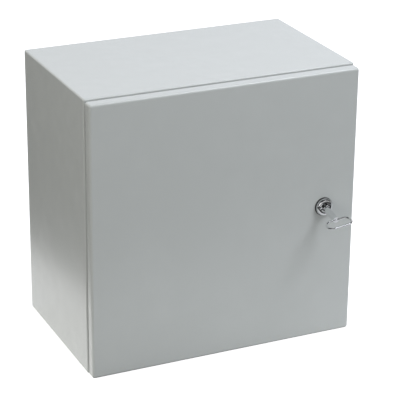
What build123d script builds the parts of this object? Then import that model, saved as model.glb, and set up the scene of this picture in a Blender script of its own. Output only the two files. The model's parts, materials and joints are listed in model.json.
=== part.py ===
from build123d import *
import math
import os

# A wall-mounted sheet-steel cabinet with the equipment of a small traffic signal controller.
# Lengths are in millimetres. X runs to the right, Y into the wall and Z up.
# The origin is the centre of the four wall-fixing holes, on the rear face.

# Cabinet body
CABINET_WIDTH = 400.0
CABINET_HEIGHT = 400.0
BODY_DEPTH = 231.0
BODY_SHEET = 1.5
BODY_INNER_BEND = 1.0
LIP_HEIGHT = 12.0
MOUTH_CORNER = 6.0
WALL_HOLE_EDGE = 35.0
WALL_HOLE_RADIUS = 4.25

# Door
DOOR_GAP = 5.0
DOOR_RIM = 14.0
DOOR_SHEET = 1.5
DOOR_INNER_BEND = 2.0
DOOR_INSET_HINGE = 0.5
DOOR_INSET_LOCK = 1.5
DOOR_INSET_TOP = 2.0
DOOR_INSET_BOTTOM = 0.2
GASKET_WIDTH = 10.0
GASKET_CLEARANCE = 0.3
STRIP_WIDTH = 20.0
STRIP_DEPTH = 12.0
STRIP_SHEET = 1.5
STRIP_END_GAP = 14.0
STRIP_SIDE_GAP = 6.0
STRIP_HOLE_RADIUS = 2.6
STRIP_HOLE_PITCH = 25.0

# Hinges
HINGE_SPACING = 236.0
KNUCKLE_RADIUS = 3.5
KNUCKLE_LENGTH = 12.0
KNUCKLE_PLAY = 0.3
PIN_RADIUS = 2.0
PIN_CLEARANCE = 0.05
PIN_HEAD_RADIUS = 3.0
PIN_HEAD_HEIGHT = 1.5
PIVOT_SETBACK = 5.0
LEAF_CLEARANCE = 0.3
LEAF_CORNER = 2.4
BRACKET_SHEET = 2.0
BRACKET_SIDE_GAP = 1.0
ARM_RELIEF = 1.0
SWING_CLEARANCE = 0.6

# Quarter-turn lock
LOCK_EDGE = 50.0
BEZEL_RADIUS = 12.7
BEZEL_HEIGHT = 5.5
BEZEL_ROUND = 3.8
SEAL_RADIUS = 11.0
SEAL_SHEET = 1.0
BARREL_RADIUS = 10.0
BARREL_CLEARANCE = 0.3
LOCK_NUT_ACROSS = 27.0
LOCK_NUT_HEIGHT = 5.0
THREAD_CLEARANCE = 0.05
INSERT_RADIUS = 8.0
INSERT_FLANGE_RADIUS = 8.6
INSERT_FLANGE_HEIGHT = 4.5
INSERT_SET = 0.5
INSERT_CLEARANCE = 0.05
INSERT_CHAMFER = 0.5
RECESS_RADIUS = 6.7
RECESS_DEPTH = 11.0
RECESS_LUG_RADIUS = 4.7
RECESS_LUG_WIDTH = 6.0
RECESS_LUG_HEIGHT = 6.0
RECESS_PIN_RADIUS = 1.5
RECESS_PIN_SET = 3.0
SPINDLE_SIDE = 8.0
SPINDLE_SHORT = 0.2
CAM_SHEET = 3.0
CAM_WIDTH = 18.0
CAM_REACH = 40.0
CAM_GAP = 0.7
CAM_END_PLAY = 0.2
CAM_CLEARANCE = 0.05
CAM_SCREW_RADIUS = 2.5
CAM_SCREW_LENGTH = 12.0
CAM_SCREW_ACROSS = 8.0
CAM_SCREW_HEAD = 3.5
CAM_SCREW_FLANGE_RADIUS = 7.0
CAM_SCREW_FLANGE = 1.2

# Key
KEY_SAG_DEGREES = 10.0
KEY_ROLL_DEGREES = 9.0
KEY_LENGTH = 49.0
KEY_ENGAGED = 8.0
KEY_NOSE_RADIUS = 3.6
KEY_NOSE_LENGTH = 10.0
KEY_SHANK_RADIUS = 4.6
KEY_HOLE_RADIUS = 2.4
KEY_HOLE_DEPTH = 10.0
KEY_BIT_RADIUS = 5.9
KEY_BIT_SHEET = 3.0
KEY_BIT_LENGTH = 5.0
BOW_RADIUS = 8.6
BOW_STRAIGHT = 19.8
BOW_WIRE_RADIUS = 1.5

# Gland plate in the floor
GLAND_WIDTH = 240.0
GLAND_DEPTH = 90.0
GLAND_OVERLAP = 18.0
GLAND_GASKET = 3.0
GLAND_SHEET = 2.0
GLAND_STUD_RADIUS = 2.5
GLAND_STUD_TIP = 3.0
GLAND_NUT_ACROSS = 8.0
GLAND_NUT_HEIGHT = 4.0
GLAND_HOLE_CLEARANCE = 0.4

# Mounting plate on its four studs
PLATE_MARGIN = 30.0
PLATE_STANDOFF = 15.0
PLATE_SHEET = 2.0
PLATE_CORNER_CUT = 30.0
STUD_SIDE_EDGE = 15.0
STUD_TOP_EDGE = 45.0
STUD_RADIUS = 4.0
STUD_COLLAR_RADIUS = 7.0
STUD_TIP = 5.0
STUD_HOLE_CLEARANCE = 0.5
STUD_WASHER_RADIUS = 8.0
STUD_WASHER_SHEET = 1.6
STUD_NUT_ACROSS = 13.0
STUD_NUT_HEIGHT = 6.5

# Earth studs on the floor and on the door
EARTH_STUD_RADIUS = 3.0
EARTH_STUD_LENGTH = 16.0
EARTH_NUT_ACROSS = 10.0
EARTH_NUT_HEIGHT = 5.0
EARTH_NUT_FLANGE_RADIUS = 7.0
EARTH_NUT_FLANGE = 1.5
BODY_EARTH_SIDE = 33.0
BODY_EARTH_FRONT = 30.0
DOOR_EARTH_SIDE = 80.0
DOOR_EARTH_RISE = 45.0

# Equipment rails
RAIL_END = 26.0
RAIL_HEIGHT = 35.0
RAIL_WEB = 27.0
RAIL_DEPTH = 7.5
RAIL_SHEET = 1.0
RAIL_SLOT_LENGTH = 15.0
RAIL_SLOT_HEIGHT = 6.2
RAIL_SLOT_PITCH = 25.0
RAIL_SCREW_RADIUS = 2.4
RAIL_SCREW_CLEARANCE = 0.2
RAIL_SCREW_HEAD_RADIUS = 4.5
RAIL_SCREW_HEAD = 3.0

# What every module on a rail shares
MODULE_GRIP = 3.0
MODULE_PLAY = 0.3
MODULE_GAP = 0.4
MODULE_ROUND = 1.0
LENS_RADIUS = 2.4
LENS_STAND = 1.4
LENS_SEAT = 2.0
LENS_CLEARANCE = 0.1
PORT_RADIUS = 2.6
PORT_DEPTH = 6.0

# Main breaker and its toggle
BREAKER_WIDTH = 35.0
BREAKER_HEIGHT = 85.0
BREAKER_DEPTH = 38.0
BREAKER_NOSE_HEIGHT = 45.0
BREAKER_NOSE_DEPTH = 16.0
BREAKER_POLES = 2
BREAKER_SPLIT = 0.8
BREAKER_PORT_EDGE = 10.0
TOGGLE_WIDTH = 22.0
TOGGLE_HUB_RADIUS = 6.0
TOGGLE_HUB_SET = 4.0
TOGGLE_LEVER_LENGTH = 16.0
TOGGLE_LEVER_SHEET = 5.0
TOGGLE_PLAY = 0.5
TOGGLE_UP_DEGREES = 30.0
AXLE_RADIUS = 1.5
AXLE_CLEARANCE = 0.05
AXLE_SEAT = 2.0
AXLE_END_PLAY = 0.3

# Surge arrester
SURGE_WIDTH = 35.0
SURGE_HEIGHT = 88.0
SURGE_DEPTH = 34.0
SURGE_NOSE_HEIGHT = 50.0
SURGE_NOSE_DEPTH = 4.0
CARTRIDGE_WIDTH = 15.5
CARTRIDGE_HEIGHT = 45.0
CARTRIDGE_DEPTH = 20.0

# Power supply
SUPPLY_WIDTH = 56.0
SUPPLY_HEIGHT = 112.0
SUPPLY_DEPTH = 92.0
SUPPLY_VENT_LENGTH = 46.0
SUPPLY_VENT_WIDTH = 3.0
SUPPLY_VENT_PITCH = 8.0
SUPPLY_VENT_DEPTH = 3.0
SUPPLY_VENT_COUNT = 7
SUPPLY_PORT_COUNT = 5
SUPPLY_PORT_PITCH = 9.0
SUPPLY_PORT_EDGE = 12.0
SUPPLY_LENS_EDGE = 34.0

# Flash-transfer relays in their bases
RELAY_COUNT = 2
RELAY_BASE_WIDTH = 28.0
RELAY_BASE_HEIGHT = 78.0
RELAY_BASE_DEPTH = 18.0
RELAY_NOSE_HEIGHT = 42.0
RELAY_NOSE_DEPTH = 6.0
RELAY_WIDTH = 22.0
RELAY_HEIGHT = 28.0
RELAY_DEPTH = 36.0
RELAY_ROUND = 1.5

# Controller
CONTROLLER_WIDTH = 128.0
CONTROLLER_HEIGHT = 104.0
CONTROLLER_DEPTH = 46.0
CONTROLLER_NOSE_HEIGHT = 74.0
CONTROLLER_NOSE_DEPTH = 10.0
COVER_MARGIN = 2.0
COVER_SHEET = 7.0
COVER_ROUND = 2.0
WINDOW_WIDTH = 62.0
WINDOW_HEIGHT = 30.0
WINDOW_EDGE = 9.0
WINDOW_DEPTH = 3.0
WINDOW_CLEARANCE = 0.15
GLASS_SHEET = 2.0
JACK_WIDTH = 14.0
JACK_HEIGHT = 12.0
JACK_DEPTH = 4.0
JACK_PITCH = 20.0
JACK_COUNT = 2
JACK_EDGE = 20.0
STATUS_EDGE = 14.0
PLUG_HEIGHT = 11.0
PLUG_DEPTH = 12.0
PLUG_MARGIN = 6.0
PLUG_PORT_RADIUS = 1.8
PLUG_PORT_PITCH = 6.0
PLUG_PORT_DEPTH = 4.0

# Lamp drivers and conflict monitor
DRIVER_COUNT = 4
DRIVER_WIDTH = 25.0
DRIVER_HEIGHT = 104.0
DRIVER_DEPTH = 46.0
DRIVER_NOSE_HEIGHT = 74.0
DRIVER_NOSE_DEPTH = 17.0
DRIVER_LENS_EDGE = 12.0
DRIVER_LENS_PITCH = 11.0
DRIVER_PLUG_MARGIN = 2.5
MONITOR_WIDTH = 32.0
BUTTON_RADIUS = 4.0
BUTTON_CLEARANCE = 0.1
BUTTON_STAND = 3.0
BUTTON_SEAT = 5.0
BUTTON_BORE_DEPTH = 8.0
BUTTON_EDGE = 20.0

# Field terminals
TERMINAL_COUNT = 20
EARTH_TERMINAL_COUNT = 4
TERMINAL_WIDTH = 8.0
TERMINAL_HEIGHT = 54.0
TERMINAL_DEPTH = 26.0
TERMINAL_NOSE_HEIGHT = 20.0
TERMINAL_NOSE_DEPTH = 9.0
TERMINAL_PORT_EDGE = 8.5
TERMINAL_FUNNEL = 5.0
TERMINAL_FUNNEL_DEPTH = 7.0
TERMINAL_FUNNEL_SET = 8.0
TERMINAL_SCREW_RADIUS = 2.4
TERMINAL_SCREW_HEIGHT = 4.0
TERMINAL_SCREW_SLOT = 0.9
CLAMP_WIDTH = 9.0
CLAMP_HEIGHT = 46.0
CLAMP_DEPTH = 16.0
CLAMP_NOSE_HEIGHT = 26.0
CLAMP_NOSE_DEPTH = 10.0

# Every cut runs past the face that it opens by this much, and faces are picked to this nearness
OVERRUN = 1.0
NEAR = 0.01
HEX_SIDES = 6

# Worked out: the faces of the body and the door
HALF_WIDTH = CABINET_WIDTH / 2
HALF_HEIGHT = CABINET_HEIGHT / 2
FLOOR = -HALF_HEIGHT + BODY_SHEET
BODY_FRONT = -BODY_DEPTH
RIM_REAR = BODY_FRONT - DOOR_GAP
DOOR_FRONT = RIM_REAR - DOOR_RIM
DOOR_INSIDE = DOOR_FRONT + DOOR_SHEET
DOOR_LEFT = -HALF_WIDTH + DOOR_INSET_HINGE
DOOR_RIGHT = HALF_WIDTH - DOOR_INSET_LOCK
DOOR_BOTTOM = -HALF_HEIGHT + DOOR_INSET_BOTTOM
DOOR_TOP = HALF_HEIGHT - DOOR_INSET_TOP

# Worked out: the pin clears the rim, the bracket clears the rim's swing, the gasket clears the bracket
RIM_TO_PIN = DOOR_SHEET + LEAF_CLEARANCE + KNUCKLE_RADIUS
PIN_X = DOOR_LEFT + RIM_TO_PIN
PIN_Y = RIM_REAR - PIVOT_SETBACK
BRACKET_LEFT = PIN_X + math.hypot(RIM_TO_PIN, PIVOT_SETBACK) + SWING_CLEARANCE
BRACKET_RIGHT = BRACKET_LEFT + BRACKET_SHEET
LIP_INSET = HALF_WIDTH + BRACKET_RIGHT + BRACKET_SIDE_GAP + GASKET_WIDTH / 2
MOUTH_WIDTH = CABINET_WIDTH - 2 * LIP_INSET - BODY_SHEET
MOUTH_HEIGHT = CABINET_HEIGHT - 2 * LIP_INSET - BODY_SHEET
LIP_TIP = BODY_FRONT - LIP_HEIGHT
HINGE_HALF = KNUCKLE_LENGTH * 3 / 2 + KNUCKLE_PLAY

# Worked out: the lock, from the door's face to the cam behind the body's flange
LOCK_X = HALF_WIDTH - LOCK_EDGE
BEZEL_REAR = DOOR_FRONT - SEAL_SHEET
BEZEL_FRONT = BEZEL_REAR - BEZEL_HEIGHT
INSERT_FRONT = BEZEL_FRONT + INSERT_SET
RECESS_FLOOR = INSERT_FRONT + RECESS_DEPTH
CAM_FRONT = BODY_FRONT + BODY_SHEET + CAM_GAP
CAM_REAR = CAM_FRONT + CAM_SHEET
KEY_CROSSING = INSERT_FRONT + KEY_ENGAGED / 2

# Worked out: the mounting plate and its rails, with the same gap above, between and below the three rows
PLATE_WIDTH = CABINET_WIDTH - 2 * PLATE_MARGIN
PLATE_HEIGHT = CABINET_HEIGHT - 2 * PLATE_MARGIN
PLATE_REAR = -BODY_SHEET - PLATE_STANDOFF
PLATE_FRONT = PLATE_REAR - PLATE_SHEET
STUD_X = PLATE_WIDTH / 2 - STUD_SIDE_EDGE
STUD_Z = PLATE_HEIGHT / 2 - STUD_TOP_EDGE
STUD_PLACES = [(x, z) for x in (-STUD_X, STUD_X) for z in (-STUD_Z, STUD_Z)]
RAIL_FRONT = PLATE_FRONT - RAIL_DEPTH
RAIL_LENGTH = PLATE_WIDTH - 2 * RAIL_END
ROW_GAP = (PLATE_HEIGHT - SUPPLY_HEIGHT - DRIVER_HEIGHT - TERMINAL_HEIGHT) / 4
UPPER_RAIL_Z = PLATE_HEIGHT / 2 - ROW_GAP - SUPPLY_HEIGHT / 2
MIDDLE_RAIL_Z = UPPER_RAIL_Z - SUPPLY_HEIGHT / 2 - ROW_GAP - DRIVER_HEIGHT / 2
LOWER_RAIL_Z = MIDDLE_RAIL_Z - DRIVER_HEIGHT / 2 - ROW_GAP - TERMINAL_HEIGHT / 2
RAIL_HEIGHTS = [UPPER_RAIL_Z, MIDDLE_RAIL_Z, LOWER_RAIL_Z]
RAIL_SLOT_COUNT = int(RAIL_LENGTH // RAIL_SLOT_PITCH)
RAIL_SCREW_X = RAIL_SLOT_PITCH * (RAIL_SLOT_COUNT - 1) / 2
RAIL_SCREW_PLACES = [(x, z) for z in RAIL_HEIGHTS for x in (-RAIL_SCREW_X, RAIL_SCREW_X)]

# Worked out: the gland plate's studs, along the middle of its overlap
GLAND_Y = -BODY_DEPTH / 2
GLAND_STUD_X = (GLAND_WIDTH + GLAND_OVERLAP) / 2
GLAND_STUD_Y = (GLAND_DEPTH + GLAND_OVERLAP) / 2
GLAND_PLACES = [(x, y) for x in (-GLAND_STUD_X, 0, GLAND_STUD_X) for y in (-GLAND_STUD_Y, GLAND_STUD_Y)]
GLAND_PLATE_TOP = FLOOR + GLAND_GASKET + GLAND_SHEET


def along_y(sketch, front, back):
    """A sketch in X and Z, made solid from its back face forwards to its front face."""
    return extrude(Plane.XZ.offset(-back) * sketch, amount=back - front)


def along_z(sketch, bottom, top):
    """A sketch in X and Y, made solid from its bottom to its top."""
    return extrude(Plane.XY.offset(bottom) * sketch, amount=top - bottom)


def along_x(points, left, right):
    """An outline of (Y, Z) points, made solid from left to right."""
    outline = make_face(Polyline(*points, close=True))
    return extrude(Plane.YZ.offset(left) * outline, amount=right - left)


def block(left, right, front, back, bottom, top):
    """A square-edged block between six faces."""
    face = Pos((left + right) / 2, (bottom + top) / 2) * Rectangle(right - left, top - bottom)
    return along_y(face, front, back)


def rod_y(x, z, radius, front, back):
    """A round bar along Y."""
    return along_y(Pos(x, z) * Circle(radius), front, back)


def rod_z(x, y, radius, bottom, top):
    """A round bar along Z."""
    return along_z(Pos(x, y) * Circle(radius), bottom, top)


def hexagon(across, bore):
    """The outline of a hex nut with a round hole."""
    return RegularPolygon(across / 2, HEX_SIDES, major_radius=False) - Circle(bore)


def group(pieces):
    """Like pieces that share one node."""
    return Compound(children=pieces)


def mouth_outline(grow):
    """The cabinet's mouth, grown on every side."""
    return RectangleRounded(MOUTH_WIDTH + 2 * grow, MOUTH_HEIGHT + 2 * grow, MOUTH_CORNER + grow)


# Cabinet body


def cabinet_shell():
    """Folded body with an inward flange and a forward sealing lip round its mouth."""
    shell = block(-HALF_WIDTH, HALF_WIDTH, BODY_FRONT, 0, -HALF_HEIGHT, HALF_HEIGHT)
    shell = fillet(shell.edges(), BODY_INNER_BEND + BODY_SHEET)
    wide = HALF_WIDTH - BODY_SHEET
    hollow = block(-wide, wide, BODY_FRONT + BODY_SHEET, -BODY_SHEET, FLOOR, -FLOOR)
    shell -= fillet(hollow.edges(), BODY_INNER_BEND)
    shell -= along_y(mouth_outline(0), BODY_FRONT - OVERRUN, BODY_FRONT + BODY_SHEET + OVERRUN)
    lip = mouth_outline(BODY_SHEET) - mouth_outline(0)
    shell += along_y(lip, LIP_TIP, BODY_FRONT + BODY_SHEET)
    hole_x = HALF_WIDTH - WALL_HOLE_EDGE
    hole_z = HALF_HEIGHT - WALL_HOLE_EDGE
    for x in (-hole_x, hole_x):
        for z in (-hole_z, hole_z):
            shell -= rod_y(x, z, WALL_HOLE_RADIUS, -BODY_SHEET - OVERRUN, OVERRUN)
    way_in = Pos(0, GLAND_Y) * Rectangle(GLAND_WIDTH, GLAND_DEPTH)
    return shell - along_z(way_in, -HALF_HEIGHT - OVERRUN, FLOOR + OVERRUN)


def gland_outline():
    """The gland plate's outline, with its stud holes."""
    wide = GLAND_WIDTH + 2 * GLAND_OVERLAP
    deep = GLAND_DEPTH + 2 * GLAND_OVERLAP
    outline = Pos(0, GLAND_Y) * Rectangle(wide, deep)
    for x, y in GLAND_PLACES:
        outline -= Pos(x, GLAND_Y + y) * Circle(GLAND_STUD_RADIUS + GLAND_HOLE_CLEARANCE)
    return outline


def gland_gasket():
    """Flat rubber frame under the gland plate."""
    frame = gland_outline() - Pos(0, GLAND_Y) * Rectangle(GLAND_WIDTH, GLAND_DEPTH)
    return along_z(frame, FLOOR, FLOOR + GLAND_GASKET)


def gland_plate():
    """Blank plate that closes the cable entry."""
    return along_z(gland_outline(), FLOOR + GLAND_GASKET, GLAND_PLATE_TOP)


def gland_studs():
    """Threaded studs welded to the floor."""
    top = GLAND_PLATE_TOP + GLAND_NUT_HEIGHT + GLAND_STUD_TIP
    return group([rod_z(x, GLAND_Y + y, GLAND_STUD_RADIUS, FLOOR, top) for x, y in GLAND_PLACES])


def gland_nuts():
    """Hex nuts that press the gland plate down."""
    outline = hexagon(GLAND_NUT_ACROSS, GLAND_STUD_RADIUS + THREAD_CLEARANCE)
    top = GLAND_PLATE_TOP + GLAND_NUT_HEIGHT
    return group([along_z(Pos(x, GLAND_Y + y) * outline, GLAND_PLATE_TOP, top) for x, y in GLAND_PLACES])


# Mounting plate


def mounting_studs():
    """Collared studs welded to the rear wall."""
    front = PLATE_FRONT - STUD_WASHER_SHEET - STUD_NUT_HEIGHT - STUD_TIP
    studs = []
    for x, z in STUD_PLACES:
        collar = rod_y(x, z, STUD_COLLAR_RADIUS, PLATE_REAR, -BODY_SHEET)
        studs.append(collar + rod_y(x, z, STUD_RADIUS, front, -BODY_SHEET))
    return group(studs)


def mounting_plate():
    """Galvanised plate with cut corners that leave the wall-fixing holes in reach."""
    outline = Rectangle(PLATE_WIDTH, PLATE_HEIGHT)
    outline = chamfer(outline.vertices(), PLATE_CORNER_CUT)
    for x, z in STUD_PLACES:
        outline -= Pos(x, z) * Circle(STUD_RADIUS + STUD_HOLE_CLEARANCE)
    for x, z in RAIL_SCREW_PLACES:
        outline -= Pos(x, z) * Circle(RAIL_SCREW_RADIUS + RAIL_SCREW_CLEARANCE)
    return along_y(outline, PLATE_FRONT, PLATE_REAR)


def plate_washers():
    """Flat washers under the plate's nuts."""
    ring = Circle(STUD_WASHER_RADIUS) - Circle(STUD_RADIUS + THREAD_CLEARANCE)
    front = PLATE_FRONT - STUD_WASHER_SHEET
    return group([along_y(Pos(x, z) * ring, front, PLATE_FRONT) for x, z in STUD_PLACES])


def plate_nuts():
    """Hex nuts that hold the mounting plate."""
    outline = hexagon(STUD_NUT_ACROSS, STUD_RADIUS + THREAD_CLEARANCE)
    back = PLATE_FRONT - STUD_WASHER_SHEET
    return group([along_y(Pos(x, z) * outline, back - STUD_NUT_HEIGHT, back) for x, z in STUD_PLACES])


# Earth studs


def earth_nut_outlines():
    """A flanged nut's flange and its hexagon."""
    bore = EARTH_STUD_RADIUS + THREAD_CLEARANCE
    return Circle(EARTH_NUT_FLANGE_RADIUS) - Circle(bore), hexagon(EARTH_NUT_ACROSS, bore)


def body_earth_stud():
    """Earth stud welded to the floor."""
    x = -HALF_WIDTH + BODY_EARTH_SIDE
    y = BODY_FRONT + BODY_EARTH_FRONT
    return rod_z(x, y, EARTH_STUD_RADIUS, FLOOR, FLOOR + EARTH_STUD_LENGTH)


def body_earth_nut():
    """Flanged nut on the body's earth stud."""
    place = Pos(-HALF_WIDTH + BODY_EARTH_SIDE, BODY_FRONT + BODY_EARTH_FRONT)
    flange, head = earth_nut_outlines()
    nut = along_z(place * flange, FLOOR, FLOOR + EARTH_NUT_FLANGE)
    return nut + along_z(place * head, FLOOR + EARTH_NUT_FLANGE, FLOOR + EARTH_NUT_HEIGHT)


def door_earth_stud():
    """Earth stud welded to the inside of the door."""
    x = DOOR_LEFT + DOOR_EARTH_SIDE
    z = DOOR_BOTTOM + DOOR_EARTH_RISE
    return rod_y(x, z, EARTH_STUD_RADIUS, DOOR_INSIDE, DOOR_INSIDE + EARTH_STUD_LENGTH)


def door_earth_nut():
    """Flanged nut on the door's earth stud."""
    place = Pos(DOOR_LEFT + DOOR_EARTH_SIDE, DOOR_BOTTOM + DOOR_EARTH_RISE)
    flange, head = earth_nut_outlines()
    seat = DOOR_INSIDE + EARTH_NUT_FLANGE
    nut = along_y(place * flange, DOOR_INSIDE, seat)
    return nut + along_y(place * head, seat, DOOR_INSIDE + EARTH_NUT_HEIGHT)


# Door


def door_pan(inset, front, bend):
    """The door's block, smaller by an inset, rounded on all edges but those at its open rear."""
    left = DOOR_LEFT + inset
    right = DOOR_RIGHT - inset
    tray = block(left, right, front, RIM_REAR, DOOR_BOTTOM + inset, DOOR_TOP - inset)
    folds = tray.edges().group_by(Axis.Y)[:-1]
    return fillet([edge for level in folds for edge in level], bend)


def door_panel():
    """Folded door tray with the lock's hole."""
    outer = door_pan(0, DOOR_FRONT, DOOR_INNER_BEND + DOOR_SHEET)
    inner = door_pan(DOOR_SHEET, DOOR_INSIDE, DOOR_INNER_BEND)
    hole = BARREL_RADIUS + BARREL_CLEARANCE
    return outer - inner - rod_y(LOCK_X, 0, hole, DOOR_FRONT - OVERRUN, DOOR_INSIDE + OVERRUN)


def door_gasket():
    """Foamed seal that the body's lip meets."""
    wide = CABINET_WIDTH - 2 * LIP_INSET
    high = CABINET_HEIGHT - 2 * LIP_INSET
    outer = RectangleRounded(wide + GASKET_WIDTH, high + GASKET_WIDTH, MOUTH_CORNER + GASKET_WIDTH / 2)
    ring = outer - Rectangle(wide - GASKET_WIDTH, high - GASKET_WIDTH)
    return along_y(ring, DOOR_INSIDE, LIP_TIP - GASKET_CLEARANCE)


def door_strip(left):
    """Perforated channel that stiffens the door."""
    right = left + STRIP_WIDTH
    back = DOOR_INSIDE + STRIP_DEPTH
    half = HALF_HEIGHT - LIP_INSET - GASKET_WIDTH / 2 - STRIP_END_GAP
    web = back - STRIP_SHEET
    end = half + OVERRUN
    channel = block(left, right, DOOR_INSIDE, back, -half, half)
    channel -= block(left + STRIP_SHEET, right - STRIP_SHEET, DOOR_INSIDE - OVERRUN, web, -end, end)
    count = int(2 * half // STRIP_HOLE_PITCH)
    for i in range(count):
        z = (i - (count - 1) / 2) * STRIP_HOLE_PITCH
        channel -= rod_y((left + right) / 2, z, STRIP_HOLE_RADIUS, web - OVERRUN, back + OVERRUN)
    return channel


def door_strip_left():
    """Stiffener beside the hinges."""
    return door_strip(-HALF_WIDTH + LIP_INSET + GASKET_WIDTH / 2 + STRIP_SIDE_GAP)


def door_strip_right():
    """Stiffener beside the lock's nut."""
    nut_corner = LOCK_NUT_ACROSS / math.sqrt(3)
    return door_strip(LOCK_X - nut_corner - STRIP_SIDE_GAP - STRIP_WIDTH)


# Hinges


def knuckle(bottom, top):
    """A length of hinge tube round the pin, without its bore."""
    return rod_z(PIN_X, PIN_Y, KNUCKLE_RADIUS, bottom, top)


def pin_bore(z):
    """What the pin's bore takes out of a hinge centred at z."""
    return rod_z(PIN_X, PIN_Y, PIN_RADIUS + PIN_CLEARANCE, z - HINGE_HALF - OVERRUN, z + HINGE_HALF + OVERRUN)


def hinge_bracket(z):
    """Body half: a foot on the flange, an upright clear of the rim's swing, and two arms to the pin."""
    low = z - HINGE_HALF
    high = z + HINGE_HALF
    arm_front = PIN_Y - KNUCKLE_RADIUS
    foot_right = -HALF_WIDTH + LIP_INSET - BODY_SHEET / 2
    bracket = block(BRACKET_LEFT, BRACKET_RIGHT, arm_front, BODY_FRONT, low, high)
    bracket += block(BRACKET_LEFT, foot_right, BODY_FRONT - BRACKET_SHEET, BODY_FRONT, low, high)
    for bottom, top in ((low, low + KNUCKLE_LENGTH), (high - KNUCKLE_LENGTH, high)):
        bracket += knuckle(bottom, top)
        bracket += block(PIN_X, BRACKET_RIGHT, arm_front, PIN_Y - ARM_RELIEF, bottom, top)
    return bracket - pin_bore(z)


def hinge_leaf(z):
    """Door half: a block in the corner of the tray, with the middle knuckle."""
    low = z - KNUCKLE_LENGTH / 2
    high = z + KNUCKLE_LENGTH / 2
    rim = DOOR_LEFT + DOOR_SHEET
    corner = [
        (rim + LEAF_CORNER, DOOR_INSIDE),
        (PIN_X, DOOR_INSIDE),
        (PIN_X, PIN_Y),
        (rim, PIN_Y),
        (rim, DOOR_INSIDE + LEAF_CORNER),
    ]
    leaf = along_z(make_face(Polyline(*corner, close=True)), low, high)
    return leaf + knuckle(low, high) - pin_bore(z)


def hinge_pin(z):
    """Headed pin through both halves."""
    top = z + HINGE_HALF
    pin = rod_z(PIN_X, PIN_Y, PIN_RADIUS, z - HINGE_HALF, top)
    return pin + rod_z(PIN_X, PIN_Y, PIN_HEAD_RADIUS, top, top + PIN_HEAD_HEIGHT)


# Lock


def lock_rod(radius, front, back):
    """A round bar on the lock's axis."""
    return rod_y(LOCK_X, 0, radius, front, back)


def lock_housing():
    """Chromed bezel and barrel through the door."""
    end = CAM_FRONT - CAM_END_PLAY
    bezel = lock_rod(BEZEL_RADIUS, BEZEL_FRONT, BEZEL_REAR)
    bezel = fillet(bezel.edges().group_by(Axis.Y)[0], BEZEL_ROUND)
    housing = bezel + lock_rod(BARREL_RADIUS, BEZEL_REAR, end)
    shoulder = INSERT_FRONT + INSERT_FLANGE_HEIGHT + INSERT_CLEARANCE
    housing -= lock_rod(INSERT_FLANGE_RADIUS + INSERT_CLEARANCE, BEZEL_FRONT - OVERRUN, shoulder)
    return housing - lock_rod(INSERT_RADIUS + INSERT_CLEARANCE, BEZEL_FRONT, end + OVERRUN)


def lock_seal():
    """Flat rubber ring between bezel and door."""
    ring = Circle(SEAL_RADIUS) - Circle(BARREL_RADIUS + THREAD_CLEARANCE)
    return along_y(Pos(LOCK_X, 0) * ring, BEZEL_REAR, DOOR_FRONT)


def lock_nut():
    """Large hex nut that clamps the lock to the door."""
    outline = hexagon(LOCK_NUT_ACROSS, BARREL_RADIUS + THREAD_CLEARANCE)
    return along_y(Pos(LOCK_X, 0) * outline, DOOR_INSIDE, DOOR_INSIDE + LOCK_NUT_HEIGHT)


def lock_insert():
    """Turning part: a keyed recess in front, a square spindle and a screw hole behind."""
    insert = lock_rod(INSERT_FLANGE_RADIUS, INSERT_FRONT, INSERT_FRONT + INSERT_FLANGE_HEIGHT)
    insert += lock_rod(INSERT_RADIUS, INSERT_FRONT, CAM_FRONT)
    spindle = Pos(LOCK_X, 0) * Rectangle(SPINDLE_SIDE, SPINDLE_SIDE)
    insert += along_y(spindle, CAM_FRONT, CAM_REAR - SPINDLE_SHORT)
    insert -= lock_rod(RECESS_RADIUS, INSERT_FRONT - OVERRUN, RECESS_FLOOR)
    insert = chamfer(insert.faces().sort_by(Axis.Y)[0].edges(), INSERT_CHAMFER)
    ledge = RECESS_FLOOR - RECESS_LUG_HEIGHT
    ring = lock_rod(INSERT_RADIUS, ledge, RECESS_FLOOR) - lock_rod(RECESS_LUG_RADIUS, ledge, RECESS_FLOOR)
    half = RECESS_LUG_WIDTH / 2
    lugs = ring & block(LOCK_X - half, LOCK_X + half, ledge, RECESS_FLOOR, -INSERT_RADIUS, INSERT_RADIUS)
    insert += lugs
    insert += lock_rod(RECESS_PIN_RADIUS, INSERT_FRONT + RECESS_PIN_SET, RECESS_FLOOR + OVERRUN)
    return insert - lock_rod(CAM_SCREW_RADIUS + THREAD_CLEARANCE, CAM_REAR - CAM_SCREW_LENGTH, CAM_REAR)


def lock_cam():
    """Steel tongue, upright while the door is unlocked."""
    straight = CAM_REACH - CAM_WIDTH / 2
    outline = Pos(LOCK_X, straight / 2) * Rectangle(CAM_WIDTH, straight)
    for z in (0, straight):
        outline += Pos(LOCK_X, z) * Circle(CAM_WIDTH / 2)
    hole = SPINDLE_SIDE + 2 * CAM_CLEARANCE
    outline -= Pos(LOCK_X, 0) * Rectangle(hole, hole)
    return along_y(outline, CAM_FRONT, CAM_REAR)


def cam_screw():
    """Flanged hex screw that holds the cam on the spindle."""
    head_front = CAM_REAR + CAM_SCREW_FLANGE
    head = Pos(LOCK_X, 0) * RegularPolygon(CAM_SCREW_ACROSS / 2, HEX_SIDES, major_radius=False)
    screw = lock_rod(CAM_SCREW_FLANGE_RADIUS, CAM_REAR, head_front)
    screw += along_y(head, head_front, head_front + CAM_SCREW_HEAD)
    return screw + lock_rod(CAM_SCREW_RADIUS, CAM_REAR - CAM_SCREW_LENGTH, CAM_REAR)


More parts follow.
